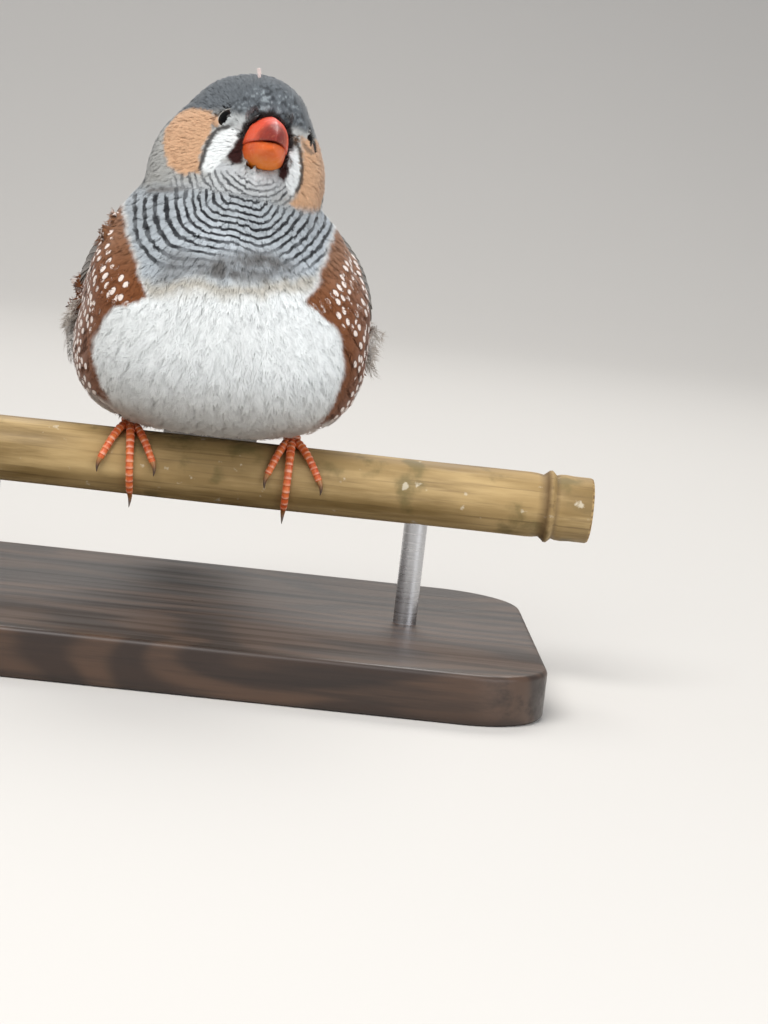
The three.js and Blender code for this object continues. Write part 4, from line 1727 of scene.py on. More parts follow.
def regions() -> list[Region]:
    """Lays out the coat.

    Returns:
        Its regions, from the bill to the tail.
    """
    most = math.inf
    front, behind = (2.8, most), (-most, 2.8)
    crown_edge, chin_edge = 2.0, -4.6
    breast_foot, shoulder, vent, mantle_foot = 20.5, 30, 3.0, 17
    breast_edge, belly_edge, flank_edge = 78, 46, 116

    def belly(side: Side) -> list[Zone]:
        """One half of the belly."""
        return [Zone(False, side, rise=(-most, breast_foot), angle=(-most, belly_edge))]

    def flank(side: Side) -> list[Zone]:
        """One flank, with the shoulder above it."""
        low = Zone(False, side, rise=(vent, breast_foot), angle=(belly_edge, flank_edge))
        return [low, Zone(False, side, rise=(breast_foot, shoulder), angle=(breast_edge, flank_edge))]

    breasts = [Zone(False, rise=(breast_foot, most), angle=(-most, breast_edge))]
    mantles = [
        Zone(False, rise=(shoulder, most), angle=(breast_edge, most)),
        Zone(False, rise=(mantle_foot, most), angle=(flank_edge, most)),
    ]
    rumps = [
        Zone(False, rise=(-most, mantle_foot), angle=(flank_edge, most)),
        Zone(False, rise=(-most, vent), angle=(belly_edge, flank_edge)),
    ]
    shoulders = [
        Zone(False, Side.RIGHT, rise=(10, 19), angle=(80, 98)),
        Zone(False, Side.LEFT, rise=(14, 19), angle=(82, 94)),
    ]
    small = Feather(
        1.25, 0.42, 0.20, 6, 0.065, sweep=0.65, loose=0.03, start=0.4, scatter=10, lean=0.08, streak=0.08
    )
    cap = Feather(
        1.7, 0.60, 0.26, 8, 0.08, sweep=0.60, loose=0.04, start=0.45, scatter=9, lean=0.08, streak=0.09
    )
    neat = Feather(
        2.4, 0.95, 0.36, 10, 0.10, sweep=0.52, loose=0.05, start=0.5, scatter=7, lean=0.10, streak=0.06
    )
    down = Feather(
        3.8, 1.3, 0.36, 14, 0.09, sweep=0.50, loose=0.10, lift=1.0, start=0.6, scatter=11, lean=0.08,
        streak=0.03
    )
    scale = Feather(
        3.4, 1.6, 0.60, 13, 0.13, sweep=0.42, loose=0.05, lift=0.88, start=0.5, scatter=8, streak=0.10
    )
    pearled = Feather(
        4.0, 2.5, 1.15, 34, 0.21, sweep=0.24, loose=0.01, lift=1.04, start=0.6, scatter=6, streak=0.02,
        ragged=0.15
    )
    cape = Feather(3.4, 1.5, 0.55, 12, 0.13, sweep=0.42, loose=0.06, start=0.45, scatter=7, streak=0.08)
    vented = Feather(3.8, 1.6, 0.55, 11, 0.13, sweep=0.45, loose=0.12, start=0.45, scatter=11, streak=0.04)
    plume = Feather(1.0, 0.8, 1.1, 20, 0.07, sweep=0.35, loose=0.10, lift=2.5, start=0.1, scatter=5)
    wisp = Feather(3.6, 2.2, 1.0, 20, 0.05, sweep=0.7, loose=0.22, lift=1.75, start=0.8, scatter=18)
    return [
        Region("face", small, [Zone(True, forward=front, up=(chin_edge, most))], "head_feathers"),
        Region("crown", cap, [Zone(True, forward=behind, up=(crown_edge, most))], "head_feathers"),
        Region("cheeks", cap, [Zone(True, forward=behind, up=(-most, crown_edge))], "head_feathers"),
        Region(
            "throat", cap, [Zone(True, forward=front, up=(-most, chin_edge))], "neck_feathers", barred=True
        ),
        Region("breast", neat, breasts, barred=True),
        Region("belly_right", down, belly(Side.RIGHT)),
        Region("belly_left", down, belly(Side.LEFT)),
        Region("flank_right", scale, flank(Side.RIGHT)),
        Region("flank_left", scale, flank(Side.LEFT)),
        Region("flank_pearls", pearled, [spotted_flanks], spotted=True, barred=True),
        Region("mantle", cape, mantles),
        Region("rump", vented, rumps),
        Region("crown_tuft", plume, [crown_spot], "head_feathers", tone=srgb(226, 204, 198)),
        Region("wisps", wisp, shoulders, tone=srgb(176, 166, 156)),
    ]


# ---- wings and tail


@dataclass(frozen=True)
class Tier:
    """A row of like vanes on a wing or a tail.

    Attributes:
        count: how many.
        roots: the lowest and highest vane's root, along and across the sheet.
        tips: their tips.
        width: each vane's width.
        lift: how far it lies off the sheet.
        tone: its colour.
        fringe: how pale its edges are.
        tilt: how far it turns about its shaft.
    """

    count: int
    roots: tuple[Pair, Pair]
    tips: tuple[Pair, Pair]
    width: float
    lift: float
    tone: Triple
    fringe: float = 0.35
    tilt: float = 0.16


Sheet = Callable[[Array, Array], tuple[Array, Array]]


@dataclass(frozen=True)
class Vane:
    """One flight or covert feather: two thin curved webs on a raised shaft.

    Attributes:
        start: its root, along and across the sheet.
        end: its tip.
        width: its greatest width.
        lift: how far it lies off the sheet.
        tilt: how far it turns about its shaft.
        tone: its colour.
        fringe: how pale its edges are.
        bars: how strongly pale bars cross it.
        rows: points along it.
        columns: points across it.
        thick: its thickness.
        full: the share of its length after which it rounds off.
    """

    start: Pair
    end: Pair
    width: float
    lift: float
    tilt: float
    tone: Triple
    fringe: float
    bars: float = 0.0
    rows: int = 16
    columns: int = 9
    thick: float = 0.10
    full: float = 0.55

    def outline(self, t: Array) -> Array:
        """The width along a vane, as a share of the widest."""
        round_tip = np.sqrt(np.clip(1 - (np.clip(t - self.full, 0, 1) / (1 - self.full)) ** 2.2, 0, 1))
        return np.where(t < self.full, 0.70 + 0.30 * step(t, 0.0, 0.4), round_tip)

    def build(self, sheet: Sheet, rng: Draws) -> Shape:
        """Makes the vane on a sheet.

        Args:
            sheet: gives places and outward directions for along and across.
            rng: the draws.

        Returns:
            Its shape.
        """
        t = 1 - (1 - np.linspace(0, 1, self.rows)) ** 1.3
        across = np.linspace(-1, 1, self.columns)
        tt, cc = np.meshgrid(t, across, indexing="ij")
        shift = cc * self.width / 2 * self.outline(tt) * (1 + 0.02 * rng.normal())
        along = self.start[0] + (self.end[0] - self.start[0]) * tt
        sideways = self.start[1] + (self.end[1] - self.start[1]) * tt + shift
        place, out = sheet(along.ravel(), sideways.ravel())
        shaft = 0.07 * np.exp(-((shift / 0.16) ** 2)) * (1 - 0.6 * tt)
        camber = -0.05 * shift**2
        height = (self.lift - self.tilt * shift + shaft + camber).ravel()
        place = place + out * height[:, None]
        tone = np.array(self.tone) * rng.uniform(0.9, 1.08)
        edge = step(np.abs(cc), 0.62, 1.0).ravel() + 0.6 * step(tt, 0.88, 1.0).ravel()
        colour = blend(np.tile(tone, (len(place), 1)), srgb(196, 188, 176), self.fringe * np.clip(edge, 0, 1))
        colour = blend(colour, tone * 0.45, 0.6 * np.exp(-((shift.ravel() / 0.14) ** 2)))
        if self.bars:
            turn = (tt.ravel() * (self.end[0] - self.start[0])) * 2 * math.pi / 3.6 + 1.0
            stripe = 0.5 + 0.5 * np.sin(turn)
            colour = blend(colour, srgb(232, 230, 224), self.bars * step(stripe, 0.55, 0.75))
        count = len(place)
        under = place - out * self.thick
        faces = grid_faces(self.rows, self.columns)
        rim = [k * self.columns for k in range(self.rows)]
        rim += [count - self.columns + k for k in range(1, self.columns)]
        rim += [(self.rows - 1 - k) * self.columns + self.columns - 1 for k in range(1, self.rows)]
        rim += [self.columns - 1 - k for k in range(1, self.columns - 1)]
        after = rim[1:] + rim[:1]
        sides = np.array([[p, p + count, q + count, q] for p, q in zip(rim, after)])
        # The underside is painted paler grey: painted light that lifts the shade under each vane.
        values = {
            "tint": np.concatenate([colour, 0.4 * colour + 0.6 * srgb(150, 142, 134)]),
            "along": np.tile(tt.ravel(), 2),
            "across": np.tile(cc.ravel(), 2),
        }
        faces = np.concatenate([faces, faces[:, ::-1] + count, sides])
        return Shape(np.concatenate([place, under]), faces, values)


@dataclass
class Wing:
    """A folded wing: primaries, secondaries, tertials and three rows of coverts, draped over the side.

    Attributes:
        side: right or left.
        flare: how loosely it hangs.
        line: the wing's middle line from wrist to tip, for the left side, with rises for heights.
        reach: the line's length.
        outside: how far off the sheet the solid is looked for.
        ray: how far from there it may lie.
        vane_top: for some ways along, how far the vanes stand off the sheet.
        tiers: its rows of vanes, from the lowest.
    """

    side: Side
    flare: float
    line: tuple[Triple, ...] = ((15.5, 0.5, 27.0), (22.0, 5.0, 24.0), (18.2, 18, 14), (8.2, 37, 2.6))
    reach: float = 46.6
    outside: float = 14.0
    ray: float = 22.0
    vane_top: Line = ((-4, 0.75), (6, 0.65), (12, 0.4), (17, 0.15), (24, 0.0), (30, -0.35), (56, -0.55))
    tiers: tuple[Tier, ...] = (
        Tier(7, ((14, -4.0), (16, -0.5)), ((33, -4.8), (53, 0.4)), 4.6, -0.45, (0.115, 0.095, 0.080), 0.30),
        Tier(7, ((8, -3.2), (9, 4.6)), ((29, -3.8), (27.5, 4.6)), 4.9, -0.05, (0.125, 0.106, 0.090), 0.40),
        Tier(3, ((12, 3.0), (11, 5.4)), ((30, 2.2), (25, 5.2)), 4.6, 0.15, (0.130, 0.110, 0.094), 0.45),
        Tier(8, ((4, -4.2), (4, 5.4)), ((16, -4.6), (18, 5.4)), 3.6, 0.35, (0.135, 0.116, 0.100), 0.40),
        Tier(8, ((1, -3.6), (1, 4.4)), ((10, -4.0), (11, 4.9)), 3.1, 0.60, (0.140, 0.122, 0.106), 0.35),
        Tier(8, ((-1.2, -3.4), (-1.2, 4.2)), ((6.4, -3.8), (7, 4.8)), 2.6, 0.80, (0.142, 0.125, 0.110), 0.28),
        Tier(7, ((-2.4, -3.0), (-2.4, 3.6)), ((3.4, -3.4), (4, 4.2)), 2.3, 0.92, (0.142, 0.125, 0.110), 0.22),
    )

    def bare_sheet(self, along: Array, across: Array) -> tuple[Array, Array]:
        """Lays the sheet before it is draped.

        Args:
            along: ways from wrist to tip.
            across: ways across the wing.

        Returns:
            Places and outward directions.
        """
        t = np.clip(along / self.reach, 0, 1)
        lengths = np.linspace(0, 1, 201)
        dense, _ = bezier(self.line, lengths)
        run = np.concatenate([[0], np.cumsum(np.linalg.norm(np.diff(dense, axis=0), axis=1))])
        at = np.interp(t * run[-1], run, lengths)
        centre, back = bezier(self.line, at)
        centre = centre + back * np.minimum(along, 0)[:, None]
        up = np.stack([-0.4 - 0.2 * t, 0.35 - 0.05 * t, 0.82 - 0.09 * t], 1)
        up = unit(up - dot(up, back) * back)
        out = np.cross(back, up)
        camber = (0.028 + 0.012 * t)[:, None]
        place = centre + up * across[:, None] - out * camber * across[:, None] ** 2
        place[:, 0] += self.flare * np.sin(np.pi * np.minimum(t * 1.25, 1))
        out = unit(out + up * 2 * camber * across[:, None])
        mirror = np.array([self.side.value, 1, 1])
        return place * mirror + [0, 0, PERCH_TOP], out * mirror

    def drape(self, solid: BVHTree) -> None:
        """Reads how far the CAD wing stands off the bare sheet, evened out.

        Args:
            solid: the CAD wing.
        """
        self.along_axis = np.linspace(-4, 56, 41)
        self.across_axis = np.linspace(-9, 9, 19)
        aa, cc = np.meshgrid(self.along_axis, self.across_axis, indexing="ij")
        place, out = self.bare_sheet(aa.ravel(), cc.ravel())
        height = np.full(len(place), np.nan)
        for k, (p, o) in enumerate(zip(place, out)):
            hit, _, _, far = solid.ray_cast(Vector(p + self.outside * o), Vector(-o), self.ray)
            if hit is not None:
                height[k] = self.outside - far
        height = (height - np.interp(aa.ravel(), *zip(*self.vane_top))).reshape(aa.shape)
        known = ~np.isnan(height)
        filled = np.where(known, height, 0.0)
        weight = known.astype(float)
        for _ in range(9):
            for axis in (0, 1):
                total = filled * weight
                spread = (np.roll(total, 1, axis) + np.roll(total, -1, axis) + 2 * total) / 4
                shares = (np.roll(weight, 1, axis) + np.roll(weight, -1, axis) + 2 * weight) / 4
                filled = spread / np.maximum(shares, 1e-6)
                weight = np.maximum(weight * 0.999, np.minimum(shares, 1.0))
        self.heights = filled

    def sheet(self, along: Array, across: Array) -> tuple[Array, Array]:
        """Lays the draped sheet.

        Args:
            along: ways from wrist to tip.
            across: ways across the wing.

        Returns:
            Places and outward directions.
        """
        place, out = self.bare_sheet(along, across)
        i, j = (
            np.clip((way - axis[0]) / (axis[1] - axis[0]), 0, len(axis) - 1.001)
            for way, axis in ((along, self.along_axis), (across, self.across_axis))
        )
        a, b = i.astype(int), j.astype(int)
        s, t = i - a, j - b
        h = self.heights
        height = (1 - s) * (1 - t) * h[a, b] + s * (1 - t) * h[a + 1, b]
        height = height + (1 - s) * t * h[a, b + 1] + s * t * h[a + 1, b + 1]
        return place + out * height[:, None], out

    def build(self, finish: Material) -> None:
        """Makes the wing in place of its CAD node.

        Args:
            finish: the vanes' material.
        """
        node = f"wing_{self.side.word}"
        points, triangles = node_arrays(node)
        self.drape(BVHTree.FromPolygons(points.tolist(), triangles.tolist()))
        rng = np.random.default_rng(31 + self.side.value)
        shapes = []
        for tier in self.tiers:
            for k in range(tier.count):
                t = k / (tier.count - 1)
                spans = (tier.roots, tier.tips)
                start, end = (tuple(p + (q - p) * t for p, q in zip(*ends)) for ends in spans)
                end = (end[0] + rng.normal() * 0.25, end[1] + rng.normal() * 0.10)
                vane = Vane(start, end, tier.width, tier.lift, tier.tilt, tier.tone, tier.fringe)
                shapes.append(vane.build(self.sheet, rng))
        shape = Shape.joined(shapes)
        if self.side is Side.LEFT:
            shape.faces = shape.faces[:, ::-1]
        make_object(f"{node}_vanes", shape, finish, [node])


@dataclass
class Tail:
    """The tail's sheet, its six pairs of feathers, and the barred coverts above and white ones below.

    Attributes:
        y: where the tail starts.
        rise: how high it starts.
        slope: how far it points below level, in degrees.
        length: the middle pair's length.
        pairs: pairs of feathers.
    """

    y: float = 19.0
    rise: float = 8.0
    slope: float = 27.0
    length: float = 34.0
    pairs: int = 6

    def sheet(self, along: Array, across: Array) -> tuple[Array, Array]:
        """Lays the sheet that the vanes lie on.

        Args:
            along: ways from the root.
            across: ways across the tail.

        Returns:
            Places and outward directions.
        """
        a = math.radians(self.slope)
        back, out = np.array([0, math.cos(a), -math.sin(a)]), np.array([0, math.sin(a), math.cos(a)])
        start = np.array([0, self.y, PERCH_TOP + self.rise])
        place = start + along[:, None] * back - 0.02 * across[:, None] ** 2 * out
        place[:, 0] += across
        return place, np.tile(out, (len(along), 1))

    def build(self, finish: Material) -> None:
        """Makes the tail in place of its CAD node.

        Args:
            finish: the vanes' material.
        """
        rng = np.random.default_rng(47)
        shapes = []
        for k in range(self.pairs):
            for side in (-1, 1):
                long = self.length - 0.12 * k * k - (0.5 if side > 0 else 0)
                lift = -0.26 * k - (0.13 if side > 0 else 0)
                start, end = (1.0, side * (0.5 + 0.55 * k)), (long, side * (0.55 + 1.05 * k))
                vane = Vane(start, end, 4.6, lift, 0.0, (0.022, 0.019, 0.017), 0.16, rows=20)
                shapes.append(vane.build(self.sheet, rng))
        for k in range(4):
            for side in (-1, 1):
                long = 21 - 2.9 * k - (1.2 if side > 0 else 0)
                across = side * (0.9 + 1.25 * k)
                lift = 0.85 - 0.12 * k - (0.08 if side > 0 else 0)
                start, end = (1.0, across), (long, across * 1.15)
                vane = Vane(start, end, 3.6, lift, 0.0, (0.018, 0.016, 0.015), 0.05, 0.9, rows=24)
                shapes.append(vane.build(self.sheet, rng))
        for k in range(5):
            for side in (-1, 1):
                across = side * (0.7 + 1.15 * k)
                lift = -2.6 - 0.14 * k - (0.07 if side > 0 else 0)
                start, end = (-1.0, across * 0.8), (16.5 - 1.1 * k, across)
                vane = Vane(start, end, 3.2, lift, 0.0, (0.62, 0.61, 0.57), 0.1, rows=14)
                shapes.append(vane.build(self.sheet, rng))
        make_object("tail_vanes", Shape.joined(shapes), finish, ["tail"])


# ---- eyes, bill, legs


@dataclass
class Eyes:
    """Two wet eyeballs and the thin pale lids that shape their openings.

    Attributes:
        axis: the way that each eye looks, in the head's frame.
        profile: the lids' section, as angles past their edge and heights off the ball.
    """

    axis: ClassVar[dict[Side, Triple]] = {Side.RIGHT: (-0.77, 0.63, 0.08), Side.LEFT: (0.90, 0.40, 0.08)}
    profile: tuple[Pair, ...] = (
        (-0.03, -0.05), (0.0, 0.03), (0.03, 0.065), (0.07, 0.065),
        (0.11, 0.04), (0.20, 0.02), (0.32, -0.02), (0.50, -0.20),
    )

    @classmethod
    def directions(cls, side: Side) -> tuple[Array, Array, Array]:
        """Works out the way one eye looks.

        Args:
            side: right or left.

        Returns:
            Its outward, forward and upward directions.
        """
        out = unit(HEAD.heading(cls.axis[side]))
        up = HEAD.heading([0, 0, 1])
        up = unit(up - (up @ out) * out)
        ahead = unit(np.cross(out, up)) * (1 if side is Side.RIGHT else -1)
        return out, ahead, up

    @staticmethod
    def opening(turn: Array) -> Array:
        """The angle from the eye's axis to the lids' edge, by the turn from ahead to above.

        Args:
            turn: turns about the way the eye looks.

        Returns:
            The angle from there to the lids' edge, for each turn.
        """
        past_peak = (turn - 1.75 + math.pi) % (2 * math.pi) - math.pi
        peak = np.exp(-(past_peak**2) / 0.14)
        return 0.80 - 0.03 * np.cos(2 * turn) + 0.30 * peak

    @classmethod
    def past_lids(cls, points: Array, side: Side) -> Array:
        """Measures how far outside the lids' edge some places lie.

        Args:
            points: places near the eye.
            side: right or left.

        Returns:
            An angle about the eye for each place.
        """
        out, ahead, up = cls.directions(side)
        away = points - EYE.middle(side)
        far = np.linalg.norm(away, axis=1)
        angle = np.arccos(np.clip(away @ out / np.maximum(far, 1e-6), -1, 1))
        past = angle - cls.opening(np.arctan2(away @ up, away @ ahead))
        return np.where(far > 4.5, 3.0, past + np.maximum(far - EYE.radius, 0) / EYE.radius * 0.3)

    def build(self) -> None:
        """Makes both eyes."""
        wet = EyeFinish().build()
        skin = Plumage("eyelid_skin").build()
        for side in Side:
            middle = EYE.middle(side)
            out, ahead, up = self.directions(side)
            rings, around = 26, 40
            polar = np.linspace(0.001, math.pi - 0.001, rings)[:, None]
            turn = round_turns(around)[None]
            ring = np.clip(np.sin(polar) + 0 * turn, 0, 1)
            local = np.stack(
                [np.cos(polar) + 0 * turn, np.sin(polar) * np.cos(turn), np.sin(polar) * np.sin(turn)]
            )
            way = local[0][..., None] * out + local[1][..., None] * ahead + local[2][..., None] * up
            place = middle + EYE.radius * way
            ring = np.where(np.cos(polar) > 0, ring, 1.0)
            faces = grid_faces(rings, around, closed=True)
            if side is Side.LEFT:
                faces = faces[:, ::-1]
            ball = Shape(place.reshape(-1, 3), faces, {"ring": ring.ravel()})
            make_object(f"eyeball_{side.word}", ball, wet, [f"eye_{side.word}"])
            make_object(f"eyelids_{side.word}", self.lids(side), skin)

    def lids(self, side: Side) -> Shape:
        """Makes the lids of one eye: a beaded rim round the opening and a skirt under the feathers.

        Args:
            side: right or left.

        Returns:
            Their shape.
        """
        out, ahead, up = self.directions(side)
        turn = round_turns(72)
        around = np.cos(turn)[:, None] * ahead + np.sin(turn)[:, None] * up
        rings, rims = [], []
        for past, height in self.profile:
            angle = (self.opening(turn) + past)[:, None]
            bead = 0.012 * np.sin(turn * 26)[:, None] if 0 < past < 0.1 else 0
            way = np.cos(angle) * out + np.sin(angle) * around
            rings.append(EYE.middle(side) + (EYE.radius + height + bead) * way)
            rims.append(np.full(len(turn), 1.0 if past < 0.25 else 0.0))
        points = np.concatenate(rings)
        marks = MARKINGS.read(points)
        tint = blend(marks.tint, srgb(186, 182, 176), 0.9 * np.concatenate(rims))
        faces = grid_faces(len(rings), len(turn), closed=True)
        if side is Side.LEFT:
            faces = faces[:, ::-1]
        return Shape(points, faces, {"tint": tint})


@dataclass
class Bill:
    """The bill's two mandibles, with nostrils at the root of the upper one.

    Attributes:
        root: how far forward the bill starts in the head's frame.
        tip: how far forward it ends.
        half_width: half its width at the root.
        culmen: the height of its ridge at the root.
        seam: the height of the mouth's line at the root.
        chin: the height of its underside at the root.
        gap: how far the mandibles stay apart.
    """

    root: float = 6.4
    tip: float = 17.4
    half_width: float = 3.25
    culmen: float = 3.6
    seam: float = -1.0
    chin: float = -4.1
    gap: float = 0.03

    def mandible(
        self, tip: float, half_width: float, blunt: float, seam: float, seam_tip: float, far: float,
        far_tip: float
    ) -> Shape:
        """One mandible as D-shaped sections from the face to the tip.

        Args:
            tip: how far forward it ends.
            half_width: half its width at the root.
            blunt: how full it stays toward the tip.
            seam: the height of the mouth's line at the root.
            seam_tip: its height at the tip.
            far: the height of its ridge or underside at the root.
            far_tip: the same at the tip.

        Returns:
            Its shape, in the part's frame.
        """
        steps, arc, floor = 44, 34, 9
        way = 1 if far > seam else -1
        k = 1 - (1 - np.linspace(0, 1, steps)) ** 1.5
        forward = self.root + (tip - self.root) * k
        taper = 0.05 * (1 - k**12) + 0.95 * np.clip(1 - k**1.7, 0, 1) ** blunt
        bend = 0.22 * np.exp(-((k / 0.16) ** 2))
        flat = seam + (seam_tip - seam) * k**2 - bend + min(way, 0) * 0.04
        arch = far_tip + (far - far_tip) * taper - flat
        turn = np.linspace(0, math.pi, arc)
        ridge = 1 + 0.035 * np.exp(-(((turn - math.pi / 2) / 0.22) ** 2))
        full = 0.88 if way > 0 else 0.66
        round_off = np.abs(np.cos(turn)) ** (1.0 if way > 0 else 0.78)
        side = half_width * taper[:, None] * np.sign(np.cos(turn)) * round_off
        up = flat[:, None] + arch[:, None] * np.sin(turn) ** full * ridge
        share = np.linspace(-1, 1, floor + 2)[1:-1]
        side = np.concatenate([side, half_width * taper[:, None] * share], 1)
        up = np.concatenate([up, flat[:, None] + way * 0.12 * taper[:, None] * (1 - share**2)], 1)
        local = np.stack([side, np.repeat(forward[:, None], side.shape[1], 1), up], -1)
        if way > 0:
            for s in (-1, 1):
                far_off = np.linalg.norm((local - [s * 1.75, 8.75, 2.35]) / [0.55, 0.75, 0.5], axis=-1)
                local -= (0.45 * np.exp(-(far_off**2)))[..., None] * np.array([s * 0.75, 0, 0.65])
        over = np.tile(np.concatenate([np.sin(turn), np.zeros(floor)]), (steps, 1))
        along = np.repeat(k[:, None], side.shape[1], 1)
        faces = grid_faces(steps, side.shape[1], closed=True)
        if way < 0:
            faces = faces[:, ::-1]
        places = HEAD.outward(local.reshape(-1, 3))
        return Shape(places, faces, {"along": along.ravel(), "over": over.ravel()})

    def build(self) -> None:
        """Makes both mandibles in place of their CAD nodes."""
        # The root colours carry painted light on the sides: pinker on the upper mandible as a painted
        # highlight, browner on the lower as painted shade.
        red = Horn("bill_red", srgb(226, 88, 52), srgb(214, 66, 40), srgb(118, 30, 20))
        orange = Horn("bill_orange", srgb(206, 84, 30), srgb(232, 124, 20), srgb(224, 100, 30))
        high, low, wide = self.seam, self.seam - self.gap, self.half_width
        upper = self.mandible(self.tip, wide, 0.8, high, high - 0.6, self.culmen, high - 0.2)
        lower = self.mandible(self.tip - 1.3, wide - 0.16, 0.72, low, low - 0.6, self.chin, high - 1.3)
        make_object("mandible_upper", upper, red.build(), ["bill_upper"])
        make_object("mandible_lower", lower, orange.build(), ["bill_lower"])


@dataclass(frozen=True)
class Foot:
    """Where a foot stands along the perch and how far each toe reaches sideways."""

    side: Side
    x: float
    inner: float
    middle: float
    outer: float
    hind: float


@dataclass
class Legs:
    """Legs, toes and claws. Toes run round the perch by angles: 0 is level in front and 90 the top.

    Attributes:
        radius: a toe's radius.
        shank: the leg's radius.
        narrowing: how much a toe narrows toward its tip.
        knee: how far back and how high above the perch a leg goes.
        start: the angle where the toes part.
        gap: how far the toes stay off the perch.
        ends: the angle where each toe ends.
        claws: each claw's length.
        feet: where the feet stand.
    """

    radius: float = 0.62
    shank: float = 0.8
    narrowing: float = 0.26
    knee: Pair = (3.6, 7.0)
    start: float = 97.0
    gap: float = 0.12
    ends: ClassVar[dict[str, float]] = {"inner": 8, "middle": -52, "outer": 6, "hind": 184}
    claws: ClassVar[dict[str, float]] = {"inner": 2.2, "middle": 2.7, "outer": 2.2, "hind": 3.2}
    feet: tuple[Foot, ...] = (
        Foot(Side.RIGHT, -11.7, 4.0, 1.1, -3.6, 0.6),
        Foot(Side.LEFT, 11.75, -3.1, -0.2, 4.5, -0.5),
    )

    def round_perch(self, x: Array, angle: Array, away: Array) -> Array:
        """Finds places round the perch.

        Args:
            x: ways along it.
            angle: angles about its axis, in degrees.
            away: how far off its surface they lie.

        Returns:
            The places.
        """
        reach = PERCH_RADIUS + self.gap + away
        a = np.radians(angle)
        x, reach = np.broadcast_arrays(np.asarray(x, float), reach)
        return np.stack([x, -reach * np.cos(a), PERCH_TOP - PERCH_RADIUS + reach * np.sin(a)], -1)

    def tube(
        self, line: Array, radii: Array, scute: float, around: int = 18, pad: Array | None = None,
        shank: bool = False
    ) -> Shape:
        """A limb along a line, with raised scutes on its upper side.

        Args:
            line: the points of its axis.
            radii: a radius for each.
            scute: the length of a scute, or 0 for a smooth limb.
            around: points round it.
            pad: how far the underside swells at each point.
            shank: whether the scutes face forward, rather than away from the perch.

        Returns:
            Its shape.
        """
        ahead = unit(np.gradient(line, axis=0))
        across = unit(np.array([1.0, 0, 0]) - ahead[:, :1] * ahead)
        out = np.cross(across, ahead)
        upper = np.array([0, -1.0, 0]) if shank else line - [0, 0, PERCH_TOP - PERCH_RADIUS]
        flip = np.sign((out * upper * [0, 1, 1]).sum() + 1e-9)
        out = out * flip
        run = np.concatenate([[0], np.cumsum(np.linalg.norm(np.diff(line, axis=0), axis=1))])
        turn = round_turns(around)
        top = step(np.sin(turn), -0.35, 0.35)
        saw = (run / scute) % 1.0 if scute else np.zeros(len(run))
        raised = 0.13 * saw**1.6 * min(scute, 1)
        swell = (pad if pad is not None else np.zeros(len(run)))[:, None] * (1 - top)
        size = radii[:, None] * (1 + raised[:, None] * top * 1.6 + swell)
        ring = across[:, None] * np.cos(turn)[None, :, None] + out[:, None] * np.sin(turn)[None, :, None]
        points = (line[:, None] + size[..., None] * ring).reshape(-1, 3)
        rim = (saw[:, None] * top + 0.5 * (1 - top)).ravel()
        along = np.repeat(run / run[-1], around)
        rim = rim if scute else np.full(len(points), 0.4)
        values = {"rim": rim, "sole": np.tile(1 - top, len(line)) * 0.7, "along": along}
        faces = grid_faces(len(line), around, closed=True)
        return Shape(points, faces if flip > 0 else faces[:, ::-1], values)

    def toe(self, foot: Foot, name: str) -> Shape:
        """Makes one toe.

        Args:
            foot: its foot.
            name: which toe.

        Returns:
            Its shape.
        """
        steps = 110 if name == "middle" else 70
        t = np.linspace(0, 1, steps)
        joints = 3 if name == "middle" else 2
        pads = 0.10 * np.cos(t * joints * 2 * math.pi) ** 2
        thick = self.radius * (1 - self.narrowing * t)
        radii = thick * np.clip((1.02 - t) / 0.05, 0.0, 1) ** 0.5
        radii = np.maximum(radii, 0.30 * self.radius)
        angle = self.start + (self.ends[name] - self.start) * t
        line = self.round_perch(foot.x + getattr(foot, name) * t, angle, thick)
        return self.tube(line, radii, 0.95 if name == "middle" else 0.85, pad=pads)

    def claw(self, foot: Foot, name: str) -> Shape:
        """Makes one claw, which carries its toe on and bends down.

        Args:
            foot: its foot.
            name: which toe it ends.

        Returns:
            Its shape.
        """
        backward = -1 if name == "hind" else 1
        reach = getattr(foot, name)
        root = self.round_perch(foot.x + reach, self.ends[name], self.radius * 0.8)
        before = self.round_perch(foot.x + reach * 0.9, self.ends[name] + 8 * backward, self.radius * 0.8)
        along = unit(root - before)
        down = unit(np.array([0, -0.55 if name == "middle" else -0.1 * backward, -1.0]))
        t = np.linspace(0, 1, 22)
        heading = along + (down - along) * (t * 0.75)[:, None]
        line = root + heading * (self.claws[name] * t - 0.25)[:, None]
        return self.tube(line, 0.42 * (1 - t) ** 0.75 + 0.02, 0, 14)

    def build(self) -> None:
        """Makes legs and claws in place of their CAD nodes."""
        skin, horn = Scutes().build(), ClawHorn().build()
        for foot in self.feet:
            hub = self.round_perch(foot.x, self.start, self.radius + 0.3)
            knee = np.array([foot.x * 0.88, hub[1] + self.knee[0], PERCH_TOP + self.knee[1]])
            t = np.linspace(-0.04, 1, 60)
            line = hub + (knee - hub) * t[:, None]
            shank = self.tube(line, self.shank * (1.1 - 0.5 * t * (1 - t)), 1.05, shank=True)
            shapes = [shank, self.palm(hub)] + [self.toe(foot, name) for name in self.ends]
            word = foot.side.word
            make_object(f"leg_{word}_scutes", Shape.joined(shapes), skin, [f"leg_{word}"])
            for name in self.ends:
                node = f"claw_{word}_{name}"
                make_object(f"{node}_horn", self.claw(foot, name), horn, [node])

    def palm(self, hub: Array) -> Shape:
        """Makes the knuckle where the toes part.

        Args:
            hub: its middle.

        Returns:
            Its shape.
        """
        polar = np.linspace(0.02, math.pi - 0.02, 18)
        line = hub + np.stack([0 * polar, 0 * polar, -1.08 * np.cos(polar)], 1) + [0, 0, 0.1]
        return self.tube(line + np.array([0, 1e-4, 0]), 1.25 * np.sin(polar) + 0.01, 0.7, shank=True)


# ---- perch and stand


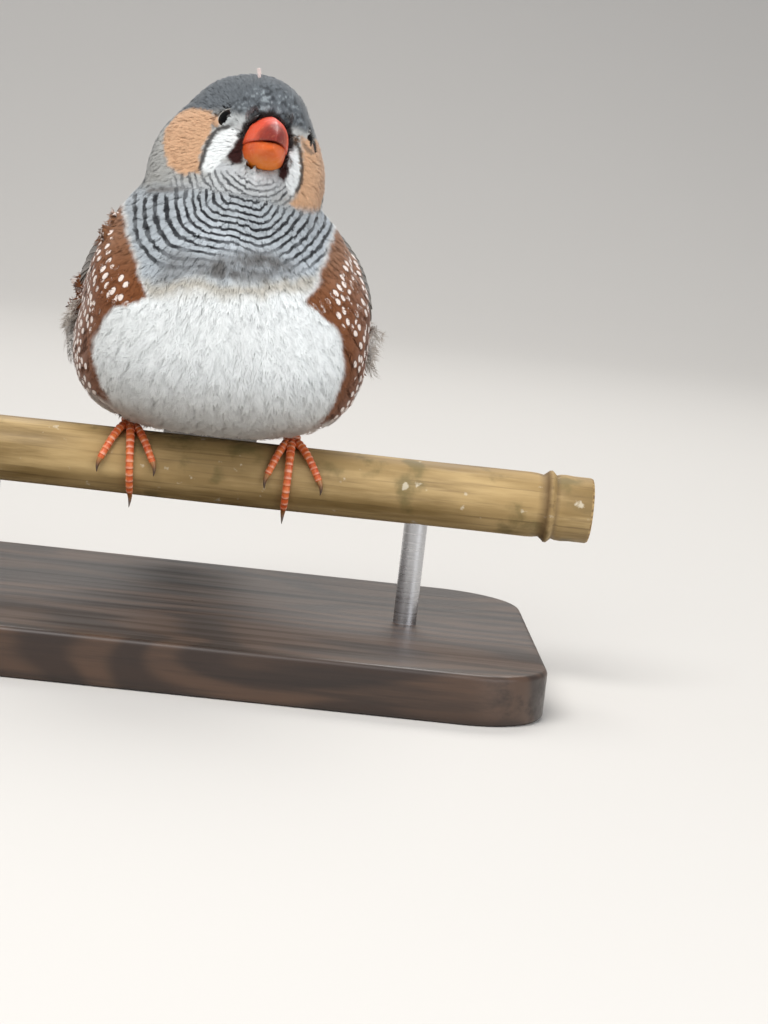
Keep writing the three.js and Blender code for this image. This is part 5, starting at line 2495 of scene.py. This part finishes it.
@dataclass
class Perch:
    """A cut length of bamboo along X, with a node ring and a shallow bore in each end.

    Attributes:
        radius: its radius.
        half: half its length.
        bore: the bores' radius.
        node: how far to the bird's left the node ring is.
    """

    radius: float = PERCH_RADIUS
    half: float = 56.0
    bore: float = 1.9
    node: float = 50.0

    def build(self) -> None:
        """Makes the perch in place of its CAD node."""
        r, half, ring, bore = self.radius, self.half, self.node, self.bore
        end = [(r, half - 0.4), (r - 0.1, half - 0.1), (r - 0.35, half), (bore + 0.1, half)]
        end += [(bore, half - 0.1), (bore, half - 4), (0.01, half - 4)]
        marks = [(size, -x) for size, x in reversed(end)]
        marks += [(r, x) for x in np.linspace(-half + 1.5, ring - 3.2, 150)]
        swell = [(-0.05, -2.2), (-0.22, -1.3), (0.2, -0.75), (0.5, -0.45), (0.55, -0.1)]
        swell += [(0.3, 0.2), (-0.12, 0.6), (0.05, 1.2), (0.1, 2.0), (0, 3.2)]
        marks += [(r + size, ring + x) for size, x in swell] + end
        profile = np.array(marks)
        around = 96
        turn = round_turns(around)
        x = np.repeat(profile[:, 1:], around, 1)
        size = np.repeat(profile[:, :1], around, 1)
        flat = np.stack([x, size * np.cos(turn), size * np.sin(turn)], -1).reshape(-1, 3)
        outer = (np.abs(size - r) < 0.3).ravel() & (np.abs(x.ravel()) < half - 0.3)
        dent = 0.10 * noise(flat * [0.12, 1, 1], 2.5, 11) + 0.05 * noise(flat * [0.05, 1, 1], 0.9, 12)
        grow = 1 + np.where(outer, dent, 0) / r
        points = np.stack([flat[:, 0], flat[:, 1] * grow, flat[:, 2] * grow + PERCH_TOP - r], 1)
        cut = (np.abs(x.ravel()) > half - 0.35) | (size.ravel() < r - 0.5)
        past = x.ravel() - ring
        band = np.exp(-(((past + 0.9) / 0.55) ** 2)) + 0.6 * np.exp(-(((past - 0.55) / 0.3) ** 2))
        faces = grid_faces(len(profile), around, closed=True)
        shape = Shape(points, faces, {"cut": cut.astype(float), "ring": np.clip(band, 0, 1)})
        make_object("perch_bamboo", shape, BambooFinish().build(), ["perch"])


@dataclass
class Stand:
    """A flat rounded base and two short rods.

    Attributes:
        width: the base's width.
        depth: its depth.
        thick: its thickness.
        corner: its corners' radius.
        bevel: its edges' radius.
        spacing: the way between the rods.
        rod: their radius.
    """

    width: float = 100.0
    depth: float = 72.0
    thick: float = 7.0
    corner: float = 12.0
    bevel: float = 0.8
    spacing: float = 62.0
    rod: float = 1.7

    def outline(self, inset: float) -> Array:
        """Draws the base's outline.

        Args:
            inset: how far it is drawn in.

        Returns:
            Its points.
        """
        corners = []
        turn = np.linspace(0, math.pi / 2, 15)
        for k, (sx, sy) in enumerate(((1, 1), (-1, 1), (-1, -1), (1, -1))):
            angle = turn + k * math.pi / 2
            cx, cy = sx * (self.width / 2 - self.corner), sy * (self.depth / 2 - self.corner)
            reach = self.corner - inset
            corners.append(np.stack([cx + reach * np.cos(angle), cy + reach * np.sin(angle)], 1))
        return np.concatenate(corners)

    def build(self) -> None:
        """Makes base and rods in place of their CAD nodes."""
        turn = np.linspace(0, math.pi / 2, 7)
        b = self.bevel
        profile = [(b * (1 - math.sin(a)), b * (1 - math.cos(a))) for a in turn]
        profile += [(b * (1 - math.cos(a)), self.thick - b * (1 - math.sin(a))) for a in turn]
        profile += [(1.6, self.thick), (20, self.thick), (35.9, self.thick)]
        profile = [(35.9, 0.0), (20, 0.0), (1.6, 0.0)] + profile
        rings = []
        for inset, z in profile:
            ring = self.outline(min(inset, self.corner - 0.05))
            if inset > self.corner:
                ring = ring * (1 - (inset - self.corner) / (36 - self.corner + 1e-3))
            rings.append(np.column_stack([ring, np.full(len(ring), z)]))
        rings = np.stack(rings)
        shape = Shape(rings.reshape(-1, 3), grid_faces(rings.shape[0], rings.shape[1], closed=True))
        make_object("stand_base_wood", shape, StainedWood().build(), ["stand_base"])
        steel = BrushedSteel().build()
        for side in Side:
            z = [3.0, 3.0, self.thick, 12.0, 18.0, 24.0, PERCH_TOP - PERCH_RADIUS + 1]
            size = [0.01, self.rod, self.rod, self.rod, self.rod, self.rod, self.rod]
            around = round_turns(64)
            circle = np.stack([np.cos(around), np.sin(around)], 1)
            rings = np.stack([np.column_stack([s * circle, np.full(64, h)]) for s, h in zip(size, z)])
            rings[..., 0] += side.value * self.spacing / 2
            shape = Shape(rings.reshape(-1, 3), grid_faces(len(z), 64, closed=True))
            make_object(f"stand_rod_{side.word}_steel", shape, steel, [f"stand_rod_{side.word}"])


# ---- the room


@dataclass
class Studio:
    """A pale floor, soft lights and the camera at the photograph's angle.

    Attributes:
        eye: where the camera is.
        aim: what it points at.
        roll: how far it leans, in degrees.
        scale: millimetres to a pixel at the aim.
        film: the camera's film height.
        lights: each light's name, place, width, power in watts and colour.
    """

    eye: Triple = (0.0, -479.0, PERCH_TOP + 58.5)
    aim: Triple = (26.2, 0.0, PERCH_TOP - 8.1)
    roll: float = 6.6
    scale: float = 0.145
    film: float = 36.0
    lights: tuple[tuple[str, Triple, float, float, Triple], ...] = (
        ("key", (-200, -380, 560), 460, 4.2, (1.0, 0.985, 0.965)),
        ("fill", (420, -400, 260), 520, 1.6, (0.95, 0.97, 1.0)),
        ("rim", (60, 420, 520), 380, 2.2, (1.0, 0.99, 0.97)),
    )

    def camera(self) -> None:
        """Makes the camera."""
        data = bpy.data.cameras.new("camera")
        made = placed("camera", data)
        eye, aim = Vector(self.eye) * MM, Vector(self.aim) * MM
        ahead = (aim - eye).normalized()
        right = ahead.cross(Vector((0, 0, 1))).normalized()
        up = right.cross(ahead)
        a = math.radians(self.roll)
        across = right * math.cos(a) + up * math.sin(a)
        over = up * math.cos(a) - right * math.sin(a)
        rows = [(across[k], over[k], -ahead[k], eye[k]) for k in range(3)]
        made.matrix_world = Matrix((*rows, (0, 0, 0, 1)))
        data.sensor_fit = "VERTICAL"
        data.sensor_height = self.film
        data.lens = self.film * ((aim - eye).length / MM / self.scale) / PHOTO_HEIGHT
        data.clip_start, data.clip_end = 0.01, 20.0
        bpy.context.scene.camera = made

    def light(self, name: str, place: Triple, size: float, power: float, tone: Triple) -> None:
        """Makes a round soft light aimed at the bird.

        Args:
            name: the light's name.
            place: where it hangs.
            size: its width.
            power: its power in watts.
            tone: its colour.
        """
        data = bpy.data.lights.new(name, "AREA")
        data.shape, data.size, data.energy, data.color = "DISK", size * MM, power, tone
        made = placed(name, data)
        at = Vector(place) * MM
        made.location = at
        aim = Vector((0, 0, PERCH_TOP + 25)) * MM - at
        made.rotation_euler = aim.to_track_quat("-Z", "Y").to_euler()

    def build(self) -> None:
        """Makes the floor, the lights and the camera."""
        self.camera()
        x = np.array([-1.6, 1.6])
        rows = [(-1.2, 0.0), (0.55, 0.0)]
        bend = np.linspace(0.1, math.pi / 2, 14)
        rows += [(0.55 + 0.35 * math.sin(a), 0.35 * (1 - math.cos(a))) for a in bend]
        rows += [(0.9, 1.8)]
        points = np.array([[u, y, z - 0.00002] for y, z in rows for u in x]) / MM
        faces = grid_faces(len(rows), 2)[:, ::-1]
        mesh = bpy.data.meshes.new("floor")
        mesh.from_pydata((points * MM).tolist(), [], faces.tolist())
        mesh.shade_smooth()
        mesh.materials.append(FloorFinish().build())
        floor = placed("floor", mesh)
        floor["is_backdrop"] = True
        for light in self.lights:
            self.light(*light)
        world = bpy.data.worlds.new("room")
        world.use_nodes = True
        colour, strength = world.node_tree.nodes["Background"].inputs[:2]
        colour.default_value, strength.default_value = (0.93, 0.95, 1.0, 1.0), 0.42
        bpy.context.scene.world = world
        bpy.context.scene.view_settings.view_transform = "Standard"


def write_sizes() -> None:
    """Works out the CAD model's box and the visual model's box, and keeps neither."""

    def plain(value: object) -> object:
        """Turns numbers into plain lists.

        Args:
            value: a number, or a list or vector of them.

        Returns:
            The same, as a plain number or list.
        """
        if isinstance(value, (int, float)):
            return float(value)
        return [plain(v) for v in value]

    {"cad": plain(CAD_BOX), "visual": plain(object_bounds())}


def main() -> None:
    """Builds the whole scene, piece by piece."""
    logging.basicConfig(level=logging.INFO, format="%(message)s")
    Studio().build()
    Stand().build()
    Perch().build()
    Legs().build()
    Bill().build()
    Eyes().build()
    vanes = VaneFinish().build()
    points, triangles = node_arrays(*WINGS)
    Wing(Side.RIGHT, 1.2).build(vanes)
    Wing(Side.LEFT, 0.3).build(vanes)
    Tail().build(vanes)
    solid_wings = BVHTree.FromPolygons(points.tolist(), triangles.tolist())
    body = Body()
    body.build()
    points, triangles = node_arrays(*body.nodes, *WINGS)
    coat = Coat(body, solid_wings, BVHTree.FromPolygons(points.tolist(), triangles.tolist()))
    for k, region in enumerate(regions()):
        coat.grow(region, 100 + k)
    write_sizes()


if __name__ == "__main__":
    main()
